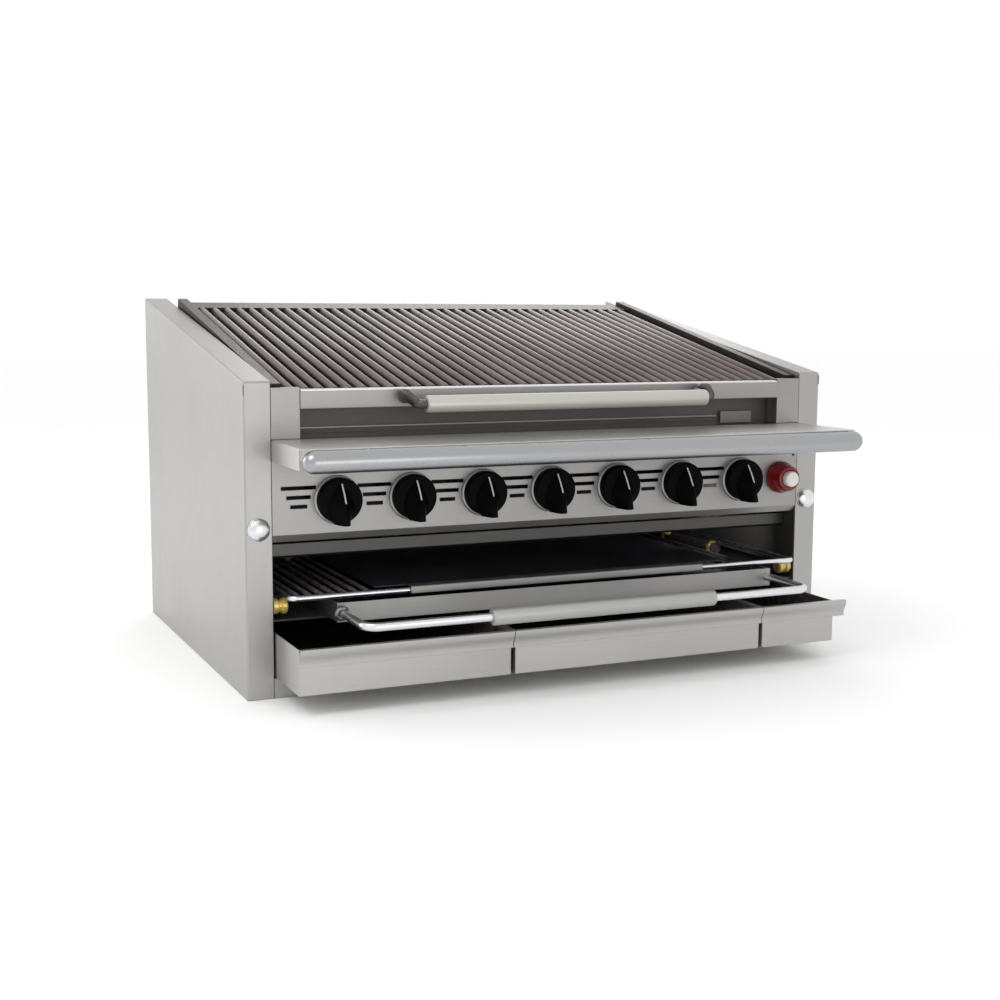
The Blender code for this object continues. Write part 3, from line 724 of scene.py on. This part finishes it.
# -------------------------------------------------------------------- operators
class CHARBROILER_OT_finishes(bpy.types.Operator):
    """Makes every finish and puts them on the frame's own nodes."""

    bl_idname = "charbroiler.finishes"
    bl_label = "Finishes"

    def execute(self, context):
        looks = context.scene.charbroiler_finishes
        # Lit and shaded copies of the brushed sheet: painted light and shade.
        for name, lift in SHEET_PAINTED_LIGHT.items():
            brushed_sheet(name, looks, lift=lift)
        polished_bar("polished_bar", looks)
        # Darker copies of the polished bar: painted shade on the bull-nose tube, and on the curled end of
        # the tray handle, which is also rougher.
        polished_bar("shaded_bullnose_bar", looks, 0.24, 0.52)
        polished_bar("rough_shaded_bar", looks, 0.42, 0.34)
        broiling_bars("broiling_bars", looks)
        # A darker copy of the bars for the grid's frame: painted shade.
        broiling_bars("shaded_grid_frame_steel", looks, 0.34)
        satin_sleeve("upper_sleeve", looks.upper_grip)
        satin_sleeve("lower_sleeve", looks.lower_grip)
        enamelled_pan("enamelled_pan", looks)
        moulded_knob("moulded_knob", looks)
        # A dark copy of the pipe finish for the rack wires: painted shade, as they sit inside the cavity.
        black_pipe("painted_shaded_wire", looks, 2.8)
        # Near-black copy of the pipe finish: painted shade for the liners in the tray and drawers and for
        # the notches in the side panels.
        black_pipe("painted_shade_dark", looks, 1.8)
        gloss_colour("pointer_fill", looks.pointer, 0.45)
        gloss_colour("igniter_red", looks.collar, 0.20)
        gloss_colour("igniter_white", looks.button, 0.28)
        brass = aged_brass("aged_brass", looks)
        pipe = black_pipe("black_pipe", looks)
        burnt = burnt_steel("burnt_steel", looks)
        # Side panels, back panel and base frame take painted shade where they face the cavity.
        side = brushed_sheet("side_sheet", looks, "Y", cavity_painted_shade)
        inner = brushed_sheet("painted_shaded_sheet", looks, painted_shade=cavity_painted_shade)
        # The recess frame and the drip tray are darker copies of the sheet with painted shade: where the
        # wall stands back under the grid, and on the tray past its front wall.
        recess = brushed_sheet("recess_sheet", looks, painted_shade=recess_shade, lift=0.84)
        tray = brushed_sheet("tray_sheet", looks, painted_shade=tray_painted_shade, lift=0.85)
        paint_nodes(("upper_front_frame",), recess)
        paint_nodes(("heat_baffle",), bpy.data.materials["baffle_sheet"])
        paint_nodes(("control_panel",), bpy.data.materials["panel_sheet"])
        paint_nodes(("side_panel_left", "side_panel_right"), side)
        paint_nodes(("back_panel", "base_frame"), inner)
        paint_nodes(("drip_tray",), tray)
        paint_nodes((*numbered("gas_valve"), "guide_roller_left", "guide_roller_right"), brass)
        paint_nodes(("gas_manifold", "gas_feed_pipe", "rack_guide_left", "rack_guide_right"), pipe)
        paint_nodes((*numbered("burner"), *numbered("radiant"), "grid_pivot_rod"), burnt)
        return {"FINISHED"}


class CHARBROILER_OT_grid(bpy.types.Operator):
    """Broiling bars, cross bars and side rails of the upper grid, with their welds."""

    bl_idname = "charbroiler.grid"
    bl_label = "Upper grid"

    def execute(self, context):
        rods = bmesh.new()
        welds = bmesh.new()
        first = -(ROD_COUNT - 1) / 2 * ROD_PITCH
        for i in range(ROD_COUNT):
            x = first + i * ROD_PITCH
            route = [(x, 0.0, -ROD_RADIUS), (x, 0.26, -ROD_RADIUS), (x, ROD_LENGTH, -ROD_RADIUS)]
            swept(rods, route, ROD_RADIUS, 14, rise=0.35)
            for side in (-1, 1):
                at = (x + side * 4.8 * MM, 5 * MM, -8.6 * MM)
                bead(welds, at, 2.2 * MM, (0.8, 1.6, 0.7))
            bead(welds, (x, ROD_LENGTH - 1.5 * MM, -1.6 * MM), 3.0 * MM, (1.5, 0.8, 0.5))
        piece("grid_bars", on_grid(rods), "broiling_bars", "grid", ["top_grid"])
        piece("grid_welds", on_grid(welds), "broiling_bars", "grid")
        frame_bars = boxes(
            ((-GRID_OUTSIDE, -0.0005, -0.0155), (-GRID_INSIDE, 0.5560, 0.0058)),
            ((GRID_INSIDE, -0.0005, -0.0155), (GRID_OUTSIDE, 0.5560, 0.0058)),
            ((-GRID_INSIDE, -0.0005, -0.0158), (GRID_INSIDE, 0.0090, -0.0075)),
            ((-GRID_INSIDE, 0.2600, -0.0155), (GRID_INSIDE, 0.2680, -0.0095)),
            ((-GRID_INSIDE, 0.5130, -0.0080), (GRID_INSIDE, 0.5555, -0.0002)),
        )
        on_grid(frame_bars)
        piece("grid_frame", frame_bars, "shaded_grid_frame_steel", "grid", soft=1.0 * MM)
        return {"FINISHED"}


class CHARBROILER_OT_rail(bpy.types.Operator):
    """Front rail of the grid, its lifting handle, brackets and grip."""

    bl_idname = "charbroiler.rail"
    bl_label = "Front rail and handle"

    def execute(self, context):
        low = RAIL_TOP - 0.0265
        section = [(0.012, RAIL_TOP), (0.001, RAIL_TOP), (-0.001, 0.4140), (-0.001, low), (0.012, low)]
        rail = folded(bmesh.new(), section, -RAIL_HALF, RAIL_HALF, 2 * MM, 1.2 * MM)
        piece("front_rail", rail, "panel_sheet", "grid", ["grid_front_rail"], 0.3 * MM)
        # A polished rod along the rail's top edge: painted highlight on the fold.
        end = RAIL_HALF - 0.0005
        route = [(-end, 0.0010, 0.4146), (0, 0.0010, 0.4146), (end, 0.0010, 0.4146)]
        edge = swept(bmesh.new(), route, 1.9 * MM, 16, rise=1.0)
        piece("rail_highlight_rod", edge, "polished_bar", "grid")
        half = HANDLE_HALF
        y, z = -0.050, 0.3965
        rod = bmesh.new()
        points = [(-half, -0.002, 0.4030), (-half, y, z), (half, y, z), (half, -0.002, 0.4030)]
        swept(rod, rounded(points, 0.010, 8), 6.2 * MM, 18)
        piece("lifting_rod", rod, "broiling_bars", "grid", ["grid_handle"])
        brackets = bmesh.new()
        for side in (-1, 1):
            arc = [(0.2375, -0.0045, 0.4070), (0.2380, -0.026, 0.4080), (0.2310, y, z)]
            arc = [(side * x, back, up) for x, back, up in arc]
            swept(brackets, rounded(arc, 0.016, 6), 8.2 * MM, 18, rise=0.8, flat=0.55)
            bead(brackets, (side * 0.2325, -0.003, 0.4030), 5.5 * MM, (1.6, 0.5, 1.5))
        piece("handle_brackets", brackets, "bracket_steel", "grid")
        grip = bmesh.new()
        end = -UPPER_GRIP_HALF
        profile = [(6.4 * MM, end), (9.6 * MM, end)]
        profile += [(11.0 * MM, end + 0.7 * MM), (11.6 * MM, end + 2.5 * MM)]
        turned(grip, mirrored(profile), (0, y, z), (1, 0, 0), 40)
        piece("upper_grip", grip, "upper_sleeve", "grid", ["grid_grip"])
        return {"FINISHED"}


class CHARBROILER_OT_knobs(bpy.types.Operator):
    """Knobs with their sloping grips and pointer lines, and the bezels behind them."""

    bl_idname = "charbroiler.knobs"
    bl_label = "Knobs"

    def execute(self, context):
        bezels = bmesh.new()
        for i in range(BURNERS):
            name = f"knob_{i + 1}"
            low, high = corners(name)
            at = Vector(((low.x + high.x) / 2, 0, high.z - KNOB_RADIUS))
            drum = bmesh.new()
            outer = [(30.0, 4.8), (30.8, 5.6), (31.0, 7.0), (31.0, 15.8), (30.6, 17.2), (29.4, 18.3)]
            turned(drum, millimetres((0, 4.8), *outer, (27.5, 18.5), (0, 18.5)), at, segments=56)
            shaft = millimetres((0, -11.7), (4.0, -11.7), (4.0, 5.0), (0, 5.0))
            turned(drum, shaft, at, segments=20)
            piece(f"{name}_drum", drum, "moulded_knob", name, [name])
            self.grip(name, at)
            self.pointer(name, at)
            ring = [(33.5, 0), (33.4, 1.4), (32.6, 3.2), (31.2, 4.1), (29.0, 4.2)]
            ring = millimetres((0, 0), *ring, (0, 4.2))
            turned(bezels, ring, at, segments=56)
        piece("knob_bezels", bezels, "bezel_steel", "casing")
        return {"FINISHED"}

    @staticmethod
    def grip(name, at):
        """A sculpted wedge: wide on the drum, narrowing to a ridge that slopes out and down."""
        ridge = [(WEDGE_FOOT, 25.0), (20.5, 23.5), (25.0, 17.5), (30.0, 10.5), (35.0, 3.5)]
        ridge += [(38.5, -1.5), (42.0, -10.0), (44.4, -18.5), (45.4, -24.0)]
        bm = bmesh.new()
        levels = []
        for reach, top in ridge:
            left_over = (WEDGE_TIP - reach) / (WEDGE_TIP - WEDGE_FOOT)
            wide = 3.8 + 15.5 * left_over ** 1.35
            nose = 3.8 + 6.0 * left_over
            bottom = -32.4 + 1.6 * (1 - left_over) ** 4
            waist = (top + bottom) / 2 - 2.0
            flank = wide * 0.80 + nose * 0.18
            shape = [(0, top), (wide * 0.62, top - (top - waist) * 0.45), (wide, waist)]
            shape += [(flank, (waist + bottom) / 2), (nose, bottom + 0.8), (nose * 0.5, bottom)]
            outline = shape + [(-x, z) for x, z in shape[:0:-1]]
            levels.append([bm.verts.new(at + Vector((x, -reach, z)) * MM) for x, z in outline])
        skin(bm, levels)
        piece(f"{name}_grip", bm, "moulded_knob", name)

    @staticmethod
    def pointer(name, at):
        """A filled line down the ridge of the grip."""
        bm = bmesh.new()
        section = ((-1.1, 0), (1.1, 0), (0.9, 0.25), (-0.9, 0.25))
        rows = []
        for z, reach in ((23.6, 21.3), (11.0, 31.1), (-1.5, 39.0)):
            row = [at + Vector((x, -reach - lift, z)) * MM for x, lift in section]
            rows.append([bm.verts.new(point) for point in row])
        skin(bm, rows)
        piece(f"{name}_pointer", bm, "pointer_fill", name)


class CHARBROILER_OT_igniter(bpy.types.Operator):
    """Red collar and the white push button in it."""

    bl_idname = "charbroiler.igniter"
    bl_label = "Igniter"

    def execute(self, context):
        at = middle("igniter_collar")
        at.y = 0
        collar = [(12.4, 0.4), (24.5, 0.4), (24.5, 6.8), (24.0, 8.2), (22.4, 11.5), (21.0, 15.5)]
        collar += [(20.0, 21.0), (19.2, 25.6), (18.4, 27.2), (17.0, 28.0), (13.6, 28.0)]
        collar += [(12.6, 27.4), (12.4, 26.0), (12.4, 0.4)]
        bm = turned(bmesh.new(), millimetres(*collar), at, segments=56)
        piece("red_collar", bm, "igniter_red", "casing", ["igniter_collar"])
        button = [(0, -16), (6.0, -16), (6.0, 10.0), (11.8, 10.0), (11.8, 33.4), (11.3, 34.9)]
        button += [(10.0, 35.8), (8.0, 36.0), (0, 35.6)]
        bm = turned(bmesh.new(), millimetres(*button), at, segments=48)
        piece("white_button", bm, "igniter_white", "igniter", ["igniter_button"])
        return {"FINISHED"}


class CHARBROILER_OT_shelf(bpy.types.Operator):
    """Landing shelf, its end plates and the polished bull-nose tube."""

    bl_idname = "charbroiler.shelf"
    bl_label = "Shelf"

    def execute(self, context):
        low, high = corners("work_shelf")
        tube_low, tube_high = corners("shelf_bullnose")
        radius = (tube_high.z - tube_low.z) / 2
        sheet = bmesh.new()
        back = high.y
        folded(sheet, [(back, low.z), (back, high.z), (low.y, high.z)], low.x, high.x, SHEET, 2.2 * MM)
        front = low.y + radius + 0.8 * MM
        for x in (low.x, high.x - SHEET):
            add_box(sheet, (x, front, low.z + 1 * MM), (x + SHEET, back - 1 * MM, high.z - 1 * MM))
        piece("shelf_sheet", sheet, "shelf_steel", "casing", ["work_shelf"], 0.4 * MM)
        tube = bmesh.new()
        half = (tube_high.x - tube_low.x) / 2
        profile = [(0, -half)]
        for i in range(1, 9):
            angle = math.pi / 2 * i / 8
            profile.append((radius * math.sin(angle), -half + radius * (1 - math.cos(angle))))
        turned(tube, mirrored(profile), (tube_low + tube_high) / 2, (1, 0, 0), 56)
        piece("bullnose_tube", tube, "shaded_bullnose_bar", "casing", ["shelf_bullnose"])
        return {"FINISHED"}


class CHARBROILER_OT_casing(bpy.types.Operator):
    """Chrome plugs, screws, a pale strip as painted highlight on the rib under the grid, the plate there,
    and the gas inlet's fitting.
    """

    bl_idname = "charbroiler.casing"
    bl_label = "Casing details"

    def execute(self, context):
        for word in ("left", "right"):
            node = f"plug_button_{word}"
            at = middle(node)
            at.y = 0
            bm = bmesh.new()
            profile = millimetres((11.0, 0.3), (15.3, 0.3), (15.5, 1.4))
            profile += dome(15.0 * MM, 8.3 * MM, 1.8 * MM, 12)[1:]
            turned(bm, profile, at, segments=56)
            piece(f"chrome_plug_{word}", bm, "polished_bar", "casing", [node])
        screws = bmesh.new()
        for x, z in ((0.398, 0.3040), (0.4135, 0.3010), (-0.402, 0.334), (0.402, 0.334)):
            pan_screw(screws, (x, 0, z), radius=2.3 * MM)
        rear = REAR_Y - PANEL_FACE_Y
        for i in range(9):
            for z in (0.020, 0.490):
                pan_screw(screws, (-0.400 + 0.1 * i, rear, z), (0, 1, 0), 3.4 * MM)
        piece("casing_screws", screws, "bracket_steel", "casing")
        # A pale strip over the rib: painted highlight.
        rib = boxes(((-0.3790, 0.0296, 0.3612), (0.2900, 0.0310, 0.3636)))
        piece("rib_highlight_strip", rib, "pan_lip_steel", "casing", soft=0.4 * MM)
        # The plate is a darker copy of the sheet: painted shade.
        plate = boxes(((0.2960, 0.0276, 0.3508), (0.3520, 0.0290, 0.3692)))
        piece("bracket_plate", plate, "shaded_plate", "casing", soft=0.4 * MM)
        # Thin dark strips on the side panels' front faces at the top: painted shade standing for notches in
        # the folds.
        notch = boxes(
            ((-0.45695, -0.0001, 0.4090), (-0.4562, 0.0010, 0.4235)),
            ((0.4562, -0.0001, 0.4090), (0.45695, 0.0010, 0.4235)),
        )
        piece("notch_shade_strips", notch, "painted_shade_dark", "casing")
        fitting = bmesh.new()
        pipe_low, pipe_high = corners("gas_feed_pipe")
        axis = ((pipe_low.x + pipe_high.x) / 2, 0, (pipe_low.z + pipe_high.z) / 2)
        near, far = 0.636, 0.648
        nut = [(10 * MM, near), (15.2 * MM, near), (16 * MM, near + 2 * MM)]
        nut += [(16 * MM, far - 2 * MM), (15.2 * MM, far), (10 * MM, far)]
        turned(fitting, nut, axis, (0, 1, 0), 6)
        piece("inlet_nut", fitting, "aged_brass", "casing", soft=0.5 * MM)
        thread = bmesh.new()
        profile = [(9.9 * MM, far)]
        for i in range(4):
            reach = far + 0.5 * MM + 1.5 * MM * i
            profile += [(10.0 * MM, reach), (9.2 * MM, reach + 0.75 * MM)]
        profile += [(9.6 * MM, 0.6549)]
        turned(thread, profile, axis, (0, 1, 0), 32)
        piece("inlet_thread", thread, "black_pipe", "casing")
        return {"FINISHED"}


class CHARBROILER_OT_rack(bpy.types.Operator):
    """Lower rack, black pan with its steel lip, and the fittings beside them."""

    bl_idname = "charbroiler.rack"
    bl_label = "Lower rack"

    def execute(self, context):
        low, high = corners("broiler_rack")
        z = (low.z + high.z) / 2
        left, right = -RACK_HALF, RACK_HALF
        front, rear = low.y + RACK_BAR, high.y - RACK_BAR
        rim = bmesh.new()
        points = [(0, front, z), (right, front, z), (right, rear, z), (left, rear, z), (left, front, z)]
        points.append(points[0])
        swept(rim, rounded(points, 0.010, 6)[:-1], RACK_BAR, 16, closed=True)
        piece("rack_rim", rim, "polished_bar", "rack", ["broiler_rack"])
        wires = bmesh.new()
        places = [-0.388 + WIRE_PITCH * i for i in range(7)] + [-0.143, 0.0, 0.143, 0.285]
        for x in places:
            swept(wires, [(x, front, z), (x, 0.25, z), (x, rear, z)], 3 * MM, 12)
            bead(wires, (x, front + 3.4 * MM, z + 1.2 * MM), 2.4 * MM, (1.2, 0.8, 0.8))
        # The wires are painted dark as shade.
        piece("rack_wires", wires, "painted_shaded_wire", "rack")
        plate_low, plate_high = corners("broiler_plate")
        top = plate_high.z
        pan = boxes(((plate_low.x, -0.012, top - 2.5 * MM), (plate_high.x, plate_high.y, top)))
        piece("black_pan", pan, "enamelled_pan", "rack", ["broiler_plate"], 0.8 * MM)
        fold = [(-0.008, top), (-0.031, top), (-0.031, plate_low.z)]
        lip = folded(bmesh.new(), fold, -0.234, 0.234, 2 * MM, 2.6 * MM)
        piece("pan_lip", lip, "pan_lip_steel", "rack", soft=0.5 * MM)
        nuts = bmesh.new()
        nut = millimetres((0, 0), (10.6, 0), (11.3, 1.2), (11.3, 10.8), (10.6, 12), (0, 12))
        stub = [(7.5, 0), (8.5, 1), (8.5, 7), (6.0, 8.5), (5.5, 12.5)]
        stub = millimetres((0, 0), *stub, (0, 12.5))
        for word in ("left", "right"):
            guide_low, guide_high = corners(f"rack_guide_{word}")
            at = (guide_low + guide_high) / 2
            for y in (guide_low.y + 4 * MM, guide_high.y - 16 * MM):
                turned(nuts, nut, (at.x, y, at.z), (0, 1, 0), 6)
            side = 1 if at.x > 0 else -1
            turned(nuts, stub, (side * (INNER - 0.3 * MM), 0.2375, 0.1535), (-side, 0, 0), 24)
        piece("guide_nuts", nuts, "aged_brass", "casing", soft=0.3 * MM)
        return {"FINISHED"}


class CHARBROILER_OT_tray(bpy.types.Operator):
    """Drip tray with its rolled rim, bent handle rod, curled end and grip."""

    bl_idname = "charbroiler.tray"
    bl_label = "Drip tray"

    def execute(self, context):
        low, high = corners("drip_tray")
        wall = Vector((1, 1, 0)) * 2 * MM
        floor = Vector((0, 0, 2)) * MM
        brim = Vector((0, 0, 3)) * MM
        # A dark liner inside the tray: painted shade.
        liner = open_box(low + wall + floor, high - wall - brim, 0.4 * MM)
        piece("tray_shade_liner", liner, "painted_shade_dark", "tray")
        rim = bmesh.new()
        inset, z = 1.0 * MM, high.z - 1.1 * MM
        left, right = low.x + inset, high.x - inset
        front, rear = low.y + inset, high.y - inset
        ring = [(0, front, z), (right, front, z), (right, rear, z), (left, rear, z), (left, front, z)]
        ring.append(ring[0])
        swept(rim, rounded(ring, 4 * MM, 5)[:-1], 1.0 * MM, 10, closed=True)
        piece("tray_rim", rim, "sheet_grain_x", "tray")
        rod_low, rod_high = corners("tray_handle")
        radius = 5.8 * MM
        y, z = rod_low.y + radius, (rod_low.z + rod_high.z) / 2
        half = rod_high.x - radius
        arm = [(half, low.y - 0.3 * MM, z), (half, y, z), (-half, y, z), (-half, low.y - 14 * MM, z)]
        rod = bmesh.new()
        swept(rod, rounded(arm, 0.018, 10), radius, 20)
        piece("pull_rod", rod, "polished_bar", "tray", ["tray_handle"])
        curl = bmesh.new()
        centre = Vector((-half - 1.0 * MM, low.y - 7 * MM, z - 1.5 * MM))
        route = [Vector((-half, low.y - 16 * MM, z)), Vector((-half + 3 * MM, low.y - 12 * MM, z + 3 * MM))]
        for i in range(15):
            angle = math.radians(50 + 20 * i)
            reach = (8.6 - 0.26 * i) * MM
            along = 0.30 * i * MM - 2 * MM
            route.append(centre + Vector((math.cos(angle) * reach, along, math.sin(angle) * reach)))
        swept(curl, route, 3.5 * MM, 14, rise=0.8)
        piece("curled_end", curl, "rough_shaded_bar", "tray")
        grip = bmesh.new()
        grip_low, grip_high = corners("tray_grip")
        wide = (grip_high.x - grip_low.x) / 2
        profile = [(6.0 * MM, -wide), (9.6 * MM, -wide)]
        profile += [(10.9 * MM, -wide + 0.8 * MM), (11.5 * MM, -wide + 2.4 * MM)]
        turned(grip, mirrored(profile), (grip_low + grip_high) / 2, (1, 0, 0), 40)
        piece("lower_grip", grip, "lower_sleeve", "tray", ["tray_grip"])
        return {"FINISHED"}


class CHARBROILER_OT_drawers(bpy.types.Operator):
    """Three grease drawers: bent fronts with leaning lips, walls, and dark liners inside as painted shade.
    """

    bl_idname = "charbroiler.drawers"
    bl_label = "Drawers"

    def execute(self, context):
        for word in DRAWERS:
            self.drawer(word)
        return {"FINISHED"}

    @staticmethod
    def drawer(word):
        node, carrier = f"grease_drawer_{word}", f"drawer_{word}"
        low, high = corners(node)
        left = low.x if word == "left" else low.x + DRAWER_SEAM
        right = high.x - (RIGHT_LIP_OVERHANG if word == "right" else DRAWER_SEAM)
        face = low.y + 6.0 * MM
        top = high.z - 0.5 * MM
        walls = open_box((left, face, low.z), (right, high.y, top), SHEET)
        piece(f"drawer_walls_{word}", walls, "drawer_sheet", carrier, [node], 0.3 * MM)
        lip = bmesh.new()
        crest = top + 0.4 * MM
        points = [(face + 2 * MM, crest), (face - 5.9 * MM, crest), (face - 5.4 * MM, top - 4.5 * MM)]
        curve = ((4.6, 7.5), (3.0, 10.5), (1.5, 13.2), (0.5, 15.8), (0.05, 19.0), (0.02, 24.0))
        points += [(face - out * MM, top - down * MM) for out, down in curve]
        folded(lip, points, low.x + 0.2 * MM, high.x - 0.2 * MM, SHEET, 0.6 * MM)
        piece(f"drawer_lip_{word}", lip, "drawer_sheet", carrier)
        # A dark liner inside the drawer: painted shade.
        inset = 2.2 * MM
        inside = (left + inset, face + inset, low.z + 2 * MM)
        liner = open_box(inside, (right - inset, high.y - inset, top - 2 * MM), 0.4 * MM)
        piece(f"drawer_shade_liner_{word}", liner, "painted_shade_dark", carrier)


class CHARBROILER_OT_stage(bpy.types.Operator):
    """Floor, surround, soft lights and camera."""

    bl_idname = "charbroiler.stage"
    bl_label = "Stage"

    def execute(self, context):
        stage = context.scene.charbroiler_stage
        scene = context.scene
        bm = bmesh.new()
        bmesh.ops.create_grid(bm, x_segments=1, y_segments=1, size=12.0)
        mesh = bpy.data.meshes.new("floor")
        bm.to_mesh(mesh)
        bm.free()
        floor = bpy.data.objects.new("floor", mesh)
        floor.location.z = -0.0005
        scene.collection.objects.link(floor)
        paper = Finish("floor_paper")
        fibre = paper.noise(30.0, 3.0, 0.5)
        tone = paper.blend(fibre * 0.2, stage.floor, [c * 0.985 for c in stage.floor])
        mesh.materials.append(paper.surface(base_color=tone, roughness=0.9))

        world = bpy.data.worlds.new("studio")
        scene.world = world
        world.use_nodes = True
        sky = world.node_tree.nodes["Background"]
        sky.inputs["Color"].default_value = (1.0, 1.0, 1.0, 1.0)
        sky.inputs["Strength"].default_value = stage.sky_strength
        scene.view_settings.view_transform = "Standard"

        self.light(scene, "key", (-1.7, -0.9, 2.2), (0, 0, 0.25), 1.4, stage.key_power)
        self.light(scene, "side box", (-2.3, 1.9, 0.9), (-0.45, 0, 0.25), 1.6, stage.side_power)
        self.light(scene, "low fill", (-0.10, -2.0, 0.22), (0.10, -0.35, 0.03), 1.0, stage.low_power)
        self.light(scene, "back box", (1.4, 2.9, 1.5), (0, 0, 0.45), 2.0, stage.back_power)
        self.light(scene, "cavity glow", (0.33, -0.17, 0.196), (0.41, 0.22, 0.13), 0.06, stage.cavity_power)

        ahead = math.cos(stage.pitch)
        forward = Vector((math.sin(stage.yaw) * ahead, math.cos(stage.yaw) * ahead, -math.sin(stage.pitch)))
        level = Vector((math.cos(stage.yaw), -math.sin(stage.yaw), 0))
        upright = level.cross(forward)
        right = level * math.cos(stage.roll) + upright * math.sin(stage.roll)
        up = upright * math.cos(stage.roll) - level * math.sin(stage.roll)
        data = bpy.data.cameras.new("camera")
        data.lens = stage.lens
        data.sensor_width = 36.0
        data.clip_start = 0.01
        camera = bpy.data.objects.new("camera", data)
        turn = Matrix((right, up, -forward)).transposed().to_4x4()
        camera.matrix_world = Matrix.Translation(stage.camera_at) @ turn
        scene.collection.objects.link(camera)
        scene.camera = camera
        return {"FINISHED"}

    @staticmethod
    def light(scene, name, place, target, size, power):
        data = bpy.data.lights.new(name, "AREA")
        data.shape = "DISK"
        data.size = size
        data.energy = power
        lamp = bpy.data.objects.new(name, data)
        aim = Vector(target) - Vector(place)
        lamp.rotation_euler = aim.to_track_quat("-Z", "Y").to_euler()
        lamp.location = place
        scene.collection.objects.link(lamp)


class CHARBROILER_PT_panel(bpy.types.Panel):
    """Lists the charbroiler's builders."""

    bl_idname = "CHARBROILER_PT_panel"
    bl_label = "Charbroiler"
    bl_space_type = "VIEW_3D"
    bl_region_type = "UI"
    bl_category = "Charbroiler"

    def draw(self, context):
        for operator in OPERATORS:
            self.layout.operator(operator.bl_idname)
        for group in (context.scene.charbroiler_finishes, context.scene.charbroiler_stage):
            box = self.layout.box()
            for key in group.bl_rna.properties.keys():
                if key not in ("rna_type", "name"):
                    box.prop(group, key)


OPERATORS = (
    CHARBROILER_OT_finishes,
    CHARBROILER_OT_grid,
    CHARBROILER_OT_rail,
    CHARBROILER_OT_knobs,
    CHARBROILER_OT_igniter,
    CHARBROILER_OT_shelf,
    CHARBROILER_OT_casing,
    CHARBROILER_OT_rack,
    CHARBROILER_OT_tray,
    CHARBROILER_OT_drawers,
    CHARBROILER_OT_stage,
)
CLASSES = (CharbroilerFinishes, CharbroilerStage, *OPERATORS, CHARBROILER_PT_panel)


def register():
    for item in CLASSES:
        bpy.utils.register_class(item)
    bpy.types.Scene.charbroiler_finishes = PointerProperty(type=CharbroilerFinishes)
    bpy.types.Scene.charbroiler_stage = PointerProperty(type=CharbroilerStage)


def unregister():
    del bpy.types.Scene.charbroiler_stage
    del bpy.types.Scene.charbroiler_finishes
    for item in reversed(CLASSES):
        bpy.utils.unregister_class(item)


def main():
    register()
    bpy.ops.charbroiler.finishes()
    bpy.ops.charbroiler.grid()
    bpy.ops.charbroiler.rail()
    bpy.ops.charbroiler.knobs()
    bpy.ops.charbroiler.igniter()
    bpy.ops.charbroiler.shelf()
    bpy.ops.charbroiler.casing()
    bpy.ops.charbroiler.rack()
    bpy.ops.charbroiler.tray()
    bpy.ops.charbroiler.drawers()
    bpy.ops.charbroiler.stage()


if __name__ == "__main__":
    main()
